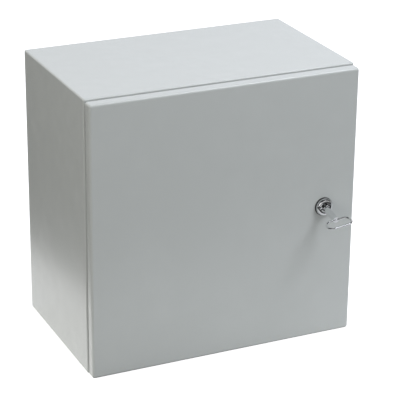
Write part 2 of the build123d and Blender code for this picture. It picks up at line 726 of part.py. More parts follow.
def key_bow():
    """Loop of round bar, long across the key, centred on the origin."""
    wire = Circle(BOW_WIRE_RADIUS)
    bars = [
        extrude(Plane.YZ.offset(-BOW_STRAIGHT / 2) * (Pos(y, 0) * wire), amount=BOW_STRAIGHT)
        for y in (-BOW_RADIUS, BOW_RADIUS)
    ]
    bow = bars[0] + bars[1]
    for side in (-1, 1):
        end = Pos(side * BOW_STRAIGHT / 2, 0, 0)
        bend = revolve(Plane.YZ * (Pos(BOW_RADIUS, 0) * wire), Axis.Z, -side * 180)
        bow += end * bend
    return bow


def key():
    """Double-bit key with a loop bow, leaning in the lock as far as its play allows."""
    tip = KEY_ENGAGED / 2
    bow_y = tip - KEY_LENGTH
    shank = rod_y(0, 0, KEY_SHANK_RADIUS, bow_y + BOW_RADIUS, tip - KEY_NOSE_LENGTH)
    nose = rod_y(0, 0, KEY_NOSE_RADIUS, tip - KEY_NOSE_LENGTH, tip)
    bit_front = tip - KEY_BIT_LENGTH
    half = KEY_BIT_SHEET / 2
    blade = block(-KEY_BIT_RADIUS, KEY_BIT_RADIUS, bit_front, tip, -half, half)
    bits = blade & rod_y(0, 0, KEY_BIT_RADIUS, bit_front, tip)
    whole = shank + nose + bits
    whole -= rod_y(0, 0, KEY_HOLE_RADIUS, tip - KEY_HOLE_DEPTH, tip + OVERRUN)
    whole += Pos(0, bow_y, 0) * key_bow()
    lean = Rot(KEY_SAG_DEGREES, 0, 0) * Rot(0, -KEY_ROLL_DEGREES, 0)
    return Pos(LOCK_X, KEY_CROSSING, 0) * lean * whole


# Equipment rails


def mounting_rail(z):
    """Top-hat rail with slots."""
    web = RAIL_WEB / 2
    edge = RAIL_HEIGHT / 2
    sheet = RAIL_SHEET
    lower = [
        (PLATE_FRONT, z - web),
        (RAIL_FRONT + sheet, z - web),
        (RAIL_FRONT + sheet, z - edge),
        (RAIL_FRONT, z - edge),
        (RAIL_FRONT, z - web + sheet),
        (PLATE_FRONT - sheet, z - web + sheet),
    ]
    upper = [(y, 2 * z - height) for y, height in reversed(lower)]
    rail = along_x(lower + upper, -RAIL_LENGTH / 2, RAIL_LENGTH / 2)
    slot = SlotOverall(RAIL_SLOT_LENGTH, RAIL_SLOT_HEIGHT)
    for i in range(RAIL_SLOT_COUNT):
        x = (i - (RAIL_SLOT_COUNT - 1) / 2) * RAIL_SLOT_PITCH
        rail -= along_y(Pos(x, z) * slot, PLATE_FRONT - sheet - OVERRUN, PLATE_FRONT + OVERRUN)
    return rail


def rail_screws():
    """Pan-head screws through the rails into the plate."""
    seat = PLATE_FRONT - RAIL_SHEET
    screws = []
    for x, z in RAIL_SCREW_PLACES:
        head = rod_y(x, z, RAIL_SCREW_HEAD_RADIUS, seat - RAIL_SCREW_HEAD, seat)
        screws.append(head + rod_y(x, z, RAIL_SCREW_RADIUS, seat, PLATE_REAR))
    return group(screws)


def row_lefts(widths):
    """The left face of each module in a centred row."""
    whole = sum(widths) + MODULE_GAP * (len(widths) - 1)
    lefts = []
    x = -whole / 2
    for width in widths:
        lefts.append(x)
        x += width + MODULE_GAP
    return lefts


UPPER_ROW = row_lefts(
    [CLAMP_WIDTH, BREAKER_WIDTH, SURGE_WIDTH, SUPPLY_WIDTH] + [RELAY_BASE_WIDTH] * RELAY_COUNT + [CLAMP_WIDTH]
)
MIDDLE_ROW = row_lefts([CONTROLLER_WIDTH] + [DRIVER_WIDTH] * DRIVER_COUNT + [MONITOR_WIDTH])
LOWER_ROW = row_lefts(
    [CLAMP_WIDTH]
    + [TERMINAL_WIDTH] * TERMINAL_COUNT
    + [CLAMP_WIDTH]
    + [TERMINAL_WIDTH] * EARTH_TERMINAL_COUNT
    + [CLAMP_WIDTH]
)


def rail_module(left, width, z, height, depth, nose_height, nose_depth):
    """A module that grips a rail, with a nose that stands forward of its two shoulders."""
    rear = RAIL_FRONT + MODULE_GRIP
    shoulder = RAIL_FRONT - depth
    nose = shoulder - nose_depth
    groove = RAIL_HEIGHT / 2 + MODULE_PLAY
    lower = [
        (RAIL_FRONT, z - groove),
        (rear, z - groove),
        (rear, z - height / 2),
        (shoulder, z - height / 2),
        (shoulder, z - nose_height / 2),
        (nose, z - nose_height / 2),
    ]
    upper = [(y, 2 * z - low) for y, low in reversed(lower)]
    module = along_x(lower + upper, left, left + width)
    outer = []
    for edge in module.edges().filter_by(Axis.X):
        at = edge.center()
        on_nose = at.Y < nose + NEAR
        on_shoulder = at.Y < shoulder + NEAR and abs(at.Z - z) > height / 2 - NEAR
        if on_nose or on_shoulder:
            outer.append(edge)
    return fillet(outer, MODULE_ROUND)


def lens_hole(x, z, front):
    """The seat that an indicator lens stands in."""
    return rod_y(x, z, LENS_RADIUS + LENS_CLEARANCE, front - OVERRUN, front + LENS_SEAT)


def lens(x, z, front):
    """An indicator lens in its seat."""
    dome = rod_y(x, z, LENS_RADIUS, front - LENS_STAND, front + LENS_SEAT)
    return fillet(dome.edges().group_by(Axis.Y)[0], LENS_STAND / 2)


def port(x, z, front):
    """A round screw port in a front face."""
    return rod_y(x, z, PORT_RADIUS, front - OVERRUN, front + PORT_DEPTH)


# Main breaker

BREAKER_LEFT = UPPER_ROW[1]
BREAKER_X = BREAKER_LEFT + BREAKER_WIDTH / 2
BREAKER_SHOULDER = RAIL_FRONT - BREAKER_DEPTH
BREAKER_NOSE = BREAKER_SHOULDER - BREAKER_NOSE_DEPTH
TOGGLE_Y = BREAKER_NOSE + TOGGLE_HUB_SET


def toggle_rod(radius, half):
    """A round bar on the toggle's axis."""
    circle = Pos(TOGGLE_Y, UPPER_RAIL_Z) * Circle(radius)
    return extrude(Plane.YZ.offset(BREAKER_X - half) * circle, amount=2 * half)


def breaker_housing():
    """Two-pole breaker with a pocket for the toggle."""
    z = UPPER_RAIL_Z
    housing = rail_module(
        BREAKER_LEFT, BREAKER_WIDTH, z, BREAKER_HEIGHT, BREAKER_DEPTH, BREAKER_NOSE_HEIGHT, BREAKER_NOSE_DEPTH
    )
    half_split = BREAKER_SPLIT / 2
    top = z + BREAKER_HEIGHT / 2 + OVERRUN
    split_back = BREAKER_SHOULDER + BREAKER_SPLIT
    nose_back = BREAKER_NOSE + BREAKER_SPLIT
    bottom = 2 * z - top
    for front, back in ((BREAKER_NOSE - OVERRUN, nose_back), (BREAKER_SHOULDER - OVERRUN, split_back)):
        groove = block(BREAKER_X - half_split, BREAKER_X + half_split, front, back, bottom, top)
        housing -= groove
    pole = BREAKER_WIDTH / BREAKER_POLES
    for i in range(BREAKER_POLES):
        x = BREAKER_LEFT + pole * (i + 1 / 2)
        for side in (-1, 1):
            housing -= port(x, z + side * (BREAKER_HEIGHT / 2 - BREAKER_PORT_EDGE), BREAKER_SHOULDER)
    half = TOGGLE_WIDTH / 2 + TOGGLE_PLAY
    reach = TOGGLE_HUB_RADIUS + TOGGLE_PLAY
    housing -= block(
        BREAKER_X - half, BREAKER_X + half, BREAKER_NOSE - OVERRUN, TOGGLE_Y + reach, z - reach, z + reach
    )
    return housing - toggle_rod(AXLE_RADIUS + AXLE_CLEARANCE, half + AXLE_SEAT + AXLE_END_PLAY)


def breaker_toggle():
    """Toggle bar across both poles, up while the breaker is on."""
    hub = toggle_rod(TOGGLE_HUB_RADIUS, TOGGLE_WIDTH / 2)
    axle = toggle_rod(AXLE_RADIUS, TOGGLE_WIDTH / 2 + TOGGLE_PLAY + AXLE_SEAT)
    half = TOGGLE_WIDTH / 2
    lever = block(-half, half, -TOGGLE_LEVER_LENGTH, 0, -TOGGLE_LEVER_SHEET / 2, TOGGLE_LEVER_SHEET / 2)
    lever = fillet(lever.edges().group_by(Axis.Y)[0].filter_by(Axis.X), TOGGLE_LEVER_SHEET / 3)
    lever = Pos(BREAKER_X, TOGGLE_Y, UPPER_RAIL_Z) * Rot(-TOGGLE_UP_DEGREES, 0, 0) * lever
    return hub + axle + lever


# Surge arrester

SURGE_LEFT = UPPER_ROW[2]
SURGE_SHOULDER = RAIL_FRONT - SURGE_DEPTH


def surge_base():
    """Base of the surge arrester."""
    z = UPPER_RAIL_Z
    base = rail_module(
        SURGE_LEFT, SURGE_WIDTH, z, SURGE_HEIGHT, SURGE_DEPTH, SURGE_NOSE_HEIGHT, SURGE_NOSE_DEPTH
    )
    pole = SURGE_WIDTH / BREAKER_POLES
    for i in range(BREAKER_POLES):
        x = SURGE_LEFT + pole * (i + 1 / 2)
        for side in (-1, 1):
            base -= port(x, z + side * (SURGE_HEIGHT / 2 - BREAKER_PORT_EDGE), SURGE_SHOULDER)
    return base


def surge_cartridges():
    """Plug-in cartridges on the surge arrester's base."""
    seat = SURGE_SHOULDER - SURGE_NOSE_DEPTH
    pole = SURGE_WIDTH / BREAKER_POLES
    half_width = CARTRIDGE_WIDTH / 2
    half_height = CARTRIDGE_HEIGHT / 2
    cartridges = []
    for i in range(BREAKER_POLES):
        x = SURGE_LEFT + pole * (i + 1 / 2)
        cartridge = block(
            x - half_width,
            x + half_width,
            seat - CARTRIDGE_DEPTH,
            seat,
            UPPER_RAIL_Z - half_height,
            UPPER_RAIL_Z + half_height,
        )
        cartridges.append(fillet(cartridge.edges().group_by(Axis.Y)[0], MODULE_ROUND))
    return group(cartridges)


# Power supply

SUPPLY_LEFT = UPPER_ROW[3]
SUPPLY_X = SUPPLY_LEFT + SUPPLY_WIDTH / 2
SUPPLY_FRONT = RAIL_FRONT - SUPPLY_DEPTH
SUPPLY_LENS_PLACE = (SUPPLY_X, UPPER_RAIL_Z + SUPPLY_HEIGHT / 2 - SUPPLY_LENS_EDGE, SUPPLY_FRONT)


def power_supply():
    """Vented case with a row of screw ports at the top and bottom of its front."""
    z = UPPER_RAIL_Z
    half = SUPPLY_HEIGHT / 2
    rear = RAIL_FRONT + MODULE_GRIP
    right = SUPPLY_LEFT + SUPPLY_WIDTH
    case = block(SUPPLY_LEFT, right, SUPPLY_FRONT, rear, z - half, z + half)
    case = fillet(case.edges().group_by(Axis.Y)[0], MODULE_ROUND)
    groove = RAIL_HEIGHT / 2 + MODULE_PLAY
    left_cut = SUPPLY_LEFT - OVERRUN
    case -= block(left_cut, right + OVERRUN, RAIL_FRONT, rear + OVERRUN, z - groove, z + groove)
    vent_middle = (SUPPLY_FRONT + RAIL_FRONT) / 2
    for i in range(SUPPLY_VENT_COUNT):
        y = vent_middle + (i - (SUPPLY_VENT_COUNT - 1) / 2) * SUPPLY_VENT_PITCH
        slot = Pos(SUPPLY_X, y) * SlotOverall(SUPPLY_VENT_LENGTH, SUPPLY_VENT_WIDTH)
        case -= along_z(slot, z + half - SUPPLY_VENT_DEPTH, z + half + OVERRUN)
        case -= along_z(slot, z - half - OVERRUN, z - half + SUPPLY_VENT_DEPTH)
    for i in range(SUPPLY_PORT_COUNT):
        x = SUPPLY_X + (i - (SUPPLY_PORT_COUNT - 1) / 2) * SUPPLY_PORT_PITCH
        for side in (-1, 1):
            case -= port(x, z + side * (half - SUPPLY_PORT_EDGE), SUPPLY_FRONT)
    return case - lens_hole(*SUPPLY_LENS_PLACE)


# Flash-transfer relays

RELAY_LEFTS = UPPER_ROW[4 : 4 + RELAY_COUNT]
RELAY_SHOULDER = RAIL_FRONT - RELAY_BASE_DEPTH


def relay_bases():
    """Rail bases of the flash-transfer relays."""
    z = UPPER_RAIL_Z
    bases = []
    for left in RELAY_LEFTS:
        width = RELAY_BASE_WIDTH
        base = rail_module(
            left, width, z, RELAY_BASE_HEIGHT, RELAY_BASE_DEPTH, RELAY_NOSE_HEIGHT, RELAY_NOSE_DEPTH
        )
        for i in range(BREAKER_POLES):
            x = left + width / BREAKER_POLES * (i + 1 / 2)
            for side in (-1, 1):
                base -= port(x, z + side * (RELAY_BASE_HEIGHT / 2 - BREAKER_PORT_EDGE), RELAY_SHOULDER)
        bases.append(base)
    return group(bases)


def flash_relays():
    """Plug-in relays, each in its base."""
    seat = RELAY_SHOULDER - RELAY_NOSE_DEPTH
    relays = []
    for left in RELAY_LEFTS:
        x = left + RELAY_BASE_WIDTH / 2
        half_width = RELAY_WIDTH / 2
        half_height = RELAY_HEIGHT / 2
        relay = block(
            x - half_width,
            x + half_width,
            seat - RELAY_DEPTH,
            seat,
            UPPER_RAIL_Z - half_height,
            UPPER_RAIL_Z + half_height,
        )
        relays.append(fillet(relay.edges().group_by(Axis.Y)[0], RELAY_ROUND))
    return group(relays)


# Controller

CONTROLLER_LEFT = MIDDLE_ROW[0]
CONTROLLER_RIGHT = CONTROLLER_LEFT + CONTROLLER_WIDTH
CONTROLLER_X = (CONTROLLER_LEFT + CONTROLLER_RIGHT) / 2
CONTROLLER_SHOULDER = RAIL_FRONT - CONTROLLER_DEPTH
COVER_REAR = CONTROLLER_SHOULDER - CONTROLLER_NOSE_DEPTH
COVER_FRONT = COVER_REAR - COVER_SHEET
COVER_HALF_HEIGHT = CONTROLLER_NOSE_HEIGHT / 2 - COVER_MARGIN
WINDOW_X = CONTROLLER_LEFT + COVER_MARGIN + WINDOW_EDGE + WINDOW_WIDTH / 2
WINDOW_Z = MIDDLE_RAIL_Z + COVER_HALF_HEIGHT - WINDOW_EDGE - WINDOW_HEIGHT / 2
STATUS_X = CONTROLLER_RIGHT - STATUS_EDGE
STATUS_PLACE = (STATUS_X, MIDDLE_RAIL_Z + COVER_HALF_HEIGHT - STATUS_EDGE, COVER_FRONT)


def controller_case():
    """Rail-mounted case of the controller."""
    return rail_module(
        CONTROLLER_LEFT,
        CONTROLLER_WIDTH,
        MIDDLE_RAIL_Z,
        CONTROLLER_HEIGHT,
        CONTROLLER_DEPTH,
        CONTROLLER_NOSE_HEIGHT,
        CONTROLLER_NOSE_DEPTH,
    )


def controller_cover():
    """Front cover with a window, two jacks and a status lens."""
    cover = block(
        CONTROLLER_LEFT + COVER_MARGIN,
        CONTROLLER_RIGHT - COVER_MARGIN,
        COVER_FRONT,
        COVER_REAR,
        MIDDLE_RAIL_Z - COVER_HALF_HEIGHT,
        MIDDLE_RAIL_Z + COVER_HALF_HEIGHT,
    )
    cover = fillet(cover.edges().group_by(Axis.Y)[0], COVER_ROUND)
    window = Pos(WINDOW_X, WINDOW_Z) * Rectangle(WINDOW_WIDTH, WINDOW_HEIGHT)
    cover -= along_y(window, COVER_FRONT - OVERRUN, COVER_FRONT + WINDOW_DEPTH)
    jack_z = MIDDLE_RAIL_Z - COVER_HALF_HEIGHT + JACK_EDGE
    for i in range(JACK_COUNT):
        x = CONTROLLER_LEFT + JACK_EDGE + i * JACK_PITCH
        jack = Pos(x, jack_z) * Rectangle(JACK_WIDTH, JACK_HEIGHT)
        cover -= along_y(jack, COVER_FRONT - OVERRUN, COVER_FRONT + JACK_DEPTH)
    return cover - lens_hole(*STATUS_PLACE)


def controller_display():
    """Display pane in the cover's window."""
    wide = WINDOW_WIDTH - 2 * WINDOW_CLEARANCE
    high = WINDOW_HEIGHT - 2 * WINDOW_CLEARANCE
    seat = COVER_FRONT + WINDOW_DEPTH
    return along_y(Pos(WINDOW_X, WINDOW_Z) * Rectangle(wide, high), seat - GLASS_SHEET, seat)


def plug_connector(left, right, shoulder, z):
    """Plug-in connector with a row of wire ports in its front."""
    half = PLUG_HEIGHT / 2
    plug = block(left, right, shoulder - PLUG_DEPTH, shoulder, z - half, z + half)
    count = int((right - left) // PLUG_PORT_PITCH)
    for i in range(count):
        x = (left + right) / 2 + (i - (count - 1) / 2) * PLUG_PORT_PITCH
        front = shoulder - PLUG_DEPTH
        plug -= rod_y(x, z, PLUG_PORT_RADIUS, front - OVERRUN, front + PLUG_PORT_DEPTH)
    return plug


def shoulder_middle(height, nose_height):
    """How far a shoulder's middle lies from the rail's centre line."""
    return (height + nose_height) / 4


def controller_plugs():
    """Connectors on both shoulders of the controller."""
    rise = shoulder_middle(CONTROLLER_HEIGHT, CONTROLLER_NOSE_HEIGHT)
    left = CONTROLLER_LEFT + PLUG_MARGIN
    right = CONTROLLER_RIGHT - PLUG_MARGIN
    return group(
        [plug_connector(left, right, CONTROLLER_SHOULDER, MIDDLE_RAIL_Z + side * rise) for side in (-1, 1)]
    )


# Lamp drivers and conflict monitor

DRIVER_LEFTS = MIDDLE_ROW[1 : 1 + DRIVER_COUNT]
DRIVER_SHOULDER = RAIL_FRONT - DRIVER_DEPTH
DRIVER_NOSE = DRIVER_SHOULDER - DRIVER_NOSE_DEPTH
MONITOR_LEFT = MIDDLE_ROW[1 + DRIVER_COUNT]
MONITOR_X = MONITOR_LEFT + MONITOR_WIDTH / 2
LENS_ROW_TOP = MIDDLE_RAIL_Z + DRIVER_NOSE_HEIGHT / 2 - DRIVER_LENS_EDGE
BUTTON_Z = MIDDLE_RAIL_Z - DRIVER_NOSE_HEIGHT / 2 + BUTTON_EDGE


def driver_lens_places(row):
    """Where one colour's lenses stand on the drivers."""
    z = LENS_ROW_TOP - row * DRIVER_LENS_PITCH
    return [(left + DRIVER_WIDTH / 2, z, DRIVER_NOSE) for left in DRIVER_LEFTS]


def monitor_lens_place(row):
    """Where a lens of the monitor stands."""
    return (MONITOR_X, LENS_ROW_TOP - row * DRIVER_LENS_PITCH, DRIVER_NOSE)


RED_PLACES = driver_lens_places(0) + [monitor_lens_place(0)]
AMBER_PLACES = driver_lens_places(1)
GREEN_PLACES = driver_lens_places(2) + [monitor_lens_place(1), STATUS_PLACE, SUPPLY_LENS_PLACE]


def tall_module(left, width):
    """The common case of the lamp drivers and the monitor."""
    return rail_module(
        left, width, MIDDLE_RAIL_Z, DRIVER_HEIGHT, DRIVER_DEPTH, DRIVER_NOSE_HEIGHT, DRIVER_NOSE_DEPTH
    )


def lamp_driver(index):
    """One lamp-driver module with seats for its three lenses."""
    driver = tall_module(DRIVER_LEFTS[index], DRIVER_WIDTH)
    for row in range(3):
        driver -= lens_hole(*driver_lens_places(row)[index])
    return driver


def driver_plugs():
    """Connectors on both shoulders of every lamp driver."""
    rise = shoulder_middle(DRIVER_HEIGHT, DRIVER_NOSE_HEIGHT)
    plugs = []
    for left in DRIVER_LEFTS:
        for side in (-1, 1):
            start = left + DRIVER_PLUG_MARGIN
            end = left + DRIVER_WIDTH - DRIVER_PLUG_MARGIN
            plugs.append(plug_connector(start, end, DRIVER_SHOULDER, MIDDLE_RAIL_Z + side * rise))
    return group(plugs)


def conflict_monitor():
    """Monitor module with two lens seats and the bore of its reset button."""
    monitor = tall_module(MONITOR_LEFT, MONITOR_WIDTH)
    for row in range(2):
        monitor -= lens_hole(*monitor_lens_place(row))
    bore = DRIVER_NOSE + BUTTON_BORE_DEPTH
    monitor -= rod_y(MONITOR_X, BUTTON_Z, BUTTON_RADIUS + BUTTON_CLEARANCE, DRIVER_NOSE - OVERRUN, bore)
    return monitor


def monitor_button():
    """Reset button in its bore."""
    button = rod_y(MONITOR_X, BUTTON_Z, BUTTON_RADIUS, DRIVER_NOSE - BUTTON_STAND, DRIVER_NOSE + BUTTON_SEAT)
    return fillet(button.edges().group_by(Axis.Y)[0], MODULE_ROUND)


# Field terminals

TERMINAL_LEFTS = LOWER_ROW[1 : 1 + TERMINAL_COUNT]
EARTH_LEFTS = LOWER_ROW[2 + TERMINAL_COUNT : 2 + TERMINAL_COUNT + EARTH_TERMINAL_COUNT]
TERMINAL_SHOULDER = RAIL_FRONT - TERMINAL_DEPTH
TERMINAL_SCREW_RISE = TERMINAL_HEIGHT / 2 - TERMINAL_PORT_EDGE
CLAMP_PLACES = [
    (UPPER_ROW[0], UPPER_RAIL_Z),
    (UPPER_ROW[-1], UPPER_RAIL_Z),
    (LOWER_ROW[0], LOWER_RAIL_Z),
    (LOWER_ROW[1 + TERMINAL_COUNT], LOWER_RAIL_Z),
    (LOWER_ROW[-1], LOWER_RAIL_Z),
]


def terminal(left):
    """One feed-through terminal with a screw port and a wire funnel at each end."""
    z = LOWER_RAIL_Z
    x = left + TERMINAL_WIDTH / 2
    body = rail_module(
        left, TERMINAL_WIDTH, z, TERMINAL_HEIGHT, TERMINAL_DEPTH, TERMINAL_NOSE_HEIGHT, TERMINAL_NOSE_DEPTH
    )
    funnel = Pos(x, TERMINAL_SHOULDER + TERMINAL_FUNNEL_SET) * Rectangle(TERMINAL_FUNNEL, TERMINAL_FUNNEL)
    for side in (-1, 1):
        body -= port(x, z + side * TERMINAL_SCREW_RISE, TERMINAL_SHOULDER)
        end = z + side * TERMINAL_HEIGHT / 2
        reach = sorted((end + side * OVERRUN, end - side * TERMINAL_FUNNEL_DEPTH))
        body -= along_z(funnel, *reach)
    return body


def terminal_screws():
    """Slotted screws at the bottom of every terminal's ports."""
    seat = TERMINAL_SHOULDER + PORT_DEPTH
    front = seat - TERMINAL_SCREW_HEIGHT
    half = TERMINAL_SCREW_SLOT / 2
    wide = TERMINAL_SCREW_RADIUS + OVERRUN
    slot_floor = front + TERMINAL_SCREW_SLOT
    screws = []
    for left in TERMINAL_LEFTS + EARTH_LEFTS:
        x = left + TERMINAL_WIDTH / 2
        for side in (-1, 1):
            z = LOWER_RAIL_Z + side * TERMINAL_SCREW_RISE
            slot = block(x - wide, x + wide, front - OVERRUN, slot_floor, z - half, z + half)
            screws.append(rod_y(x, z, TERMINAL_SCREW_RADIUS, front, seat) - slot)
    return group(screws)


def end_clamps():
    """Clamps that stop the modules sliding along the rails."""
    return group(
        [
            rail_module(left, CLAMP_WIDTH, z, CLAMP_HEIGHT, CLAMP_DEPTH, CLAMP_NOSE_HEIGHT, CLAMP_NOSE_DEPTH)
            for left, z in CLAMP_PLACES
        ]
    )


UPPER_HINGE_Z = HINGE_SPACING / 2
NODES = {
    "cabinet_shell": cabinet_shell(),
    "gland_gasket": gland_gasket(),
    "gland_plate": gland_plate(),
    "gland_studs": gland_studs(),
    "gland_nuts": gland_nuts(),
    "mounting_studs": mounting_studs(),
    "mounting_plate": mounting_plate(),
    "plate_washers": plate_washers(),
    "plate_nuts": plate_nuts(),
    "body_earth_stud": body_earth_stud(),
    "body_earth_nut": body_earth_nut(),
    "hinge_bracket_upper": hinge_bracket(UPPER_HINGE_Z),
    "hinge_bracket_lower": hinge_bracket(-UPPER_HINGE_Z),
    "hinge_pin_upper": hinge_pin(UPPER_HINGE_Z),
    "hinge_pin_lower": hinge_pin(-UPPER_HINGE_Z),
    "rail_upper": mounting_rail(UPPER_RAIL_Z),
    "rail_middle": mounting_rail(MIDDLE_RAIL_Z),
    "rail_lower": mounting_rail(LOWER_RAIL_Z),
    "rail_screws": rail_screws(),
    "breaker_housing": breaker_housing(),
    "breaker_toggle": breaker_toggle(),
    "surge_base": surge_base(),
    "surge_cartridges": surge_cartridges(),
    "power_supply": power_supply(),
    "relay_bases": relay_bases(),
    "flash_relays": flash_relays(),
    "controller_case": controller_case(),
    "controller_cover": controller_cover(),
    "controller_display": controller_display(),
    "controller_plugs": controller_plugs(),
    "driver_plugs": driver_plugs(),
    "conflict_monitor": conflict_monitor(),
    "monitor_button": monitor_button(),
    "lenses_red": group([lens(*place) for place in RED_PLACES]),
    "lenses_amber": group([lens(*place) for place in AMBER_PLACES]),
    "lenses_green": group([lens(*place) for place in GREEN_PLACES]),
    "terminals": group([terminal(left) for left in TERMINAL_LEFTS]),
    "earth_terminals": group([terminal(left) for left in EARTH_LEFTS]),
    "terminal_screws": terminal_screws(),
    "end_clamps": end_clamps(),
    "door_panel": door_panel(),
    "door_gasket": door_gasket(),
    "door_strip_left": door_strip_left(),
    "door_strip_right": door_strip_right(),
    "door_earth_stud": door_earth_stud(),
    "door_earth_nut": door_earth_nut(),
    "hinge_leaf_upper": hinge_leaf(UPPER_HINGE_Z),
    "hinge_leaf_lower": hinge_leaf(-UPPER_HINGE_Z),
    "lock_housing": lock_housing(),
    "lock_seal": lock_seal(),
    "lock_nut": lock_nut(),
    "lock_insert": lock_insert(),
    "lock_cam": lock_cam(),
    "cam_screw": cam_screw(),
    "key": key(),
}
for index in range(DRIVER_COUNT):
    NODES[f"lamp_driver_{index + 1}"] = lamp_driver(index)

os.makedirs("parts", exist_ok=True)
for name, shape in NODES.items():
    export_step(shape, f"parts/{name}.step")
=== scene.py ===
import json
import math

import bmesh
import bpy
from mathutils import Matrix, Vector


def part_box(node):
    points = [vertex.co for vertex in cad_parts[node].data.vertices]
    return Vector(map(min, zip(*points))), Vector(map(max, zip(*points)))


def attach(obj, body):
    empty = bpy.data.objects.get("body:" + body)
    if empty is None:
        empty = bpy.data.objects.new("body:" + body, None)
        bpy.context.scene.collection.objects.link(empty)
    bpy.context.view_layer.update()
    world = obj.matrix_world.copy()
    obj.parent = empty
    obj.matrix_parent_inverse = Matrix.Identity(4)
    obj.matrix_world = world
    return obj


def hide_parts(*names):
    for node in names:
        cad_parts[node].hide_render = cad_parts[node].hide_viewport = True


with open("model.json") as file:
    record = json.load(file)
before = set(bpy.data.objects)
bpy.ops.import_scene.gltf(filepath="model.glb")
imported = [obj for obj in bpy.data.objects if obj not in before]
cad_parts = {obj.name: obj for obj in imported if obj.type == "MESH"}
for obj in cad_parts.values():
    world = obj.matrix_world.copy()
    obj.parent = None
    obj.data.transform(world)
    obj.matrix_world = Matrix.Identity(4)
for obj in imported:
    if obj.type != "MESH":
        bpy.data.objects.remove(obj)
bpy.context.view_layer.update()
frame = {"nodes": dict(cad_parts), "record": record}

nodes = frame["nodes"]
slot_of_node = {piece["node"]: piece["material_slot"] for piece in frame["record"]["subparts"]}


# Shader node helpers


def place_node(tree, kind, inputs=None, **settings):
    """A node with its settings, each input given as a value or as the socket that feeds it."""
    made = tree.nodes.new(kind)
    for name, value in settings.items():
        setattr(made, name, value)
    for key, value in (inputs or {}).items():
        if isinstance(value, bpy.types.NodeSocket):
            tree.links.new(value, made.inputs[key])
        else:
            made.inputs[key].default_value = value
    return made


def maths(tree, operation, first, second=0.0, third=0.0, clamp=False):
    """The result of one Math node."""
    inputs = {0: first, 1: second, 2: third}
    return place_node(tree, "ShaderNodeMath", inputs, operation=operation, use_clamp=clamp).outputs[0]


def blend_colours(tree, factor, first, second, way="MIX"):
    """The colour between two colours."""
    inputs = {0: factor, 6: first, 7: second}
    return place_node(tree, "ShaderNodeMix", inputs, data_type="RGBA", blend_type=way).outputs[2]


def noise(tree, coordinates, scale, detail=2.0, roughness=0.5):
    """A noise value from 0 to 1."""
    inputs = {"Vector": coordinates, "Scale": scale, "Detail": detail, "Roughness": roughness}
    return place_node(tree, "ShaderNodeTexNoise", inputs).outputs[0]


def object_coordinates(tree):
    """The piece's own coordinates, in metres."""
    return place_node(tree, "ShaderNodeTexCoord").outputs["Object"]


def axis_values(tree, vector):
    """The X, Y and Z of a vector."""
    return place_node(tree, "ShaderNodeSeparateXYZ", {0: vector}).outputs


def remap(tree, value, low, high, to_low=0.0, to_high=1.0):
    """A value moved from one range to another and held inside it."""
    inputs = {0: value, 1: low, 2: high, 3: to_low, 4: to_high}
    return place_node(tree, "ShaderNodeMapRange", inputs, clamp=True).outputs[0]


def start_group(name, inputs, outputs):
    """An empty shader node group with its named sockets."""
    tree = bpy.data.node_groups.new(name, "ShaderNodeTree")
    for label in inputs:
        tree.interface.new_socket(label, in_out="INPUT", socket_type="NodeSocketFloat")
    for label in outputs:
        tree.interface.new_socket(label, in_out="OUTPUT", socket_type="NodeSocketFloat")
    return tree, tree.nodes.new("NodeGroupInput").outputs, tree.nodes.new("NodeGroupOutput").inputs


# Effects that several finishes share

NOISE_MIDDLE = 0.5
ROUGH_SHARE = 1.5
PEEL_FINE_SCALE = 3.1
PEEL_FINE_SHARE = 0.25
MOULD_FINE_SCALE = 1.7
MOULD_FINE_SHARE = 0.5
FEATHER_SCALE = 4.0
FEATHER_SHARE = 0.35
FLAKE_SHARE = 0.65


def build_surface_tone():
    """Slow and fine variation: a shade about one and a roughness offset about nothing."""
    sizes = ["Blotch scale", "Blotch depth", "Grain scale", "Grain depth"]
    tree, given, out = start_group("surface_tone", sizes, ["Shade", "Rough"])
    coordinates = object_coordinates(tree)
    blotch = noise(tree, coordinates, given["Blotch scale"], detail=3.0)
    grain = noise(tree, coordinates, given["Grain scale"], detail=1.0)
    blotch = maths(tree, "SUBTRACT", blotch, NOISE_MIDDLE)
    grain = maths(tree, "SUBTRACT", grain, NOISE_MIDDLE)
    slow = maths(tree, "MULTIPLY", blotch, given["Blotch depth"])
    fine = maths(tree, "MULTIPLY", grain, given["Grain depth"])
    both = maths(tree, "ADD", slow, fine)
    tree.links.new(maths(tree, "ADD", both, 1.0), out["Shade"])
    tree.links.new(maths(tree, "MULTIPLY", both, ROUGH_SHARE), out["Rough"])
    return tree


def build_orange_peel():
    """The low swells of sprayed and baked paint."""
    tree, given, out = start_group("orange_peel", ["Scale"], ["Height"])
    coordinates = object_coordinates(tree)
    swell = noise(tree, coordinates, given["Scale"], detail=1.0)
    fine_scale = maths(tree, "MULTIPLY", given["Scale"], PEEL_FINE_SCALE)
    fine = noise(tree, coordinates, fine_scale, detail=0.0)
    tree.links.new(maths(tree, "MULTIPLY_ADD", fine, PEEL_FINE_SHARE, swell), out["Height"])
    return tree


def build_moulded_grain():
    """The spark-eroded grain of a moulded housing."""
    tree, given, out = start_group("moulded_grain", ["Scale"], ["Height"])
    coordinates = object_coordinates(tree)
    inputs = {"Vector": coordinates, "Scale": given["Scale"], "Randomness": 1.0}
    pits = place_node(tree, "ShaderNodeTexVoronoi", inputs, feature="SMOOTH_F1").outputs["Distance"]
    fine_scale = maths(tree, "MULTIPLY", given["Scale"], MOULD_FINE_SCALE)
    fine = noise(tree, coordinates, fine_scale, detail=2.0)
    tree.links.new(maths(tree, "MULTIPLY_ADD", fine, MOULD_FINE_SHARE, pits), out["Height"])
    return tree


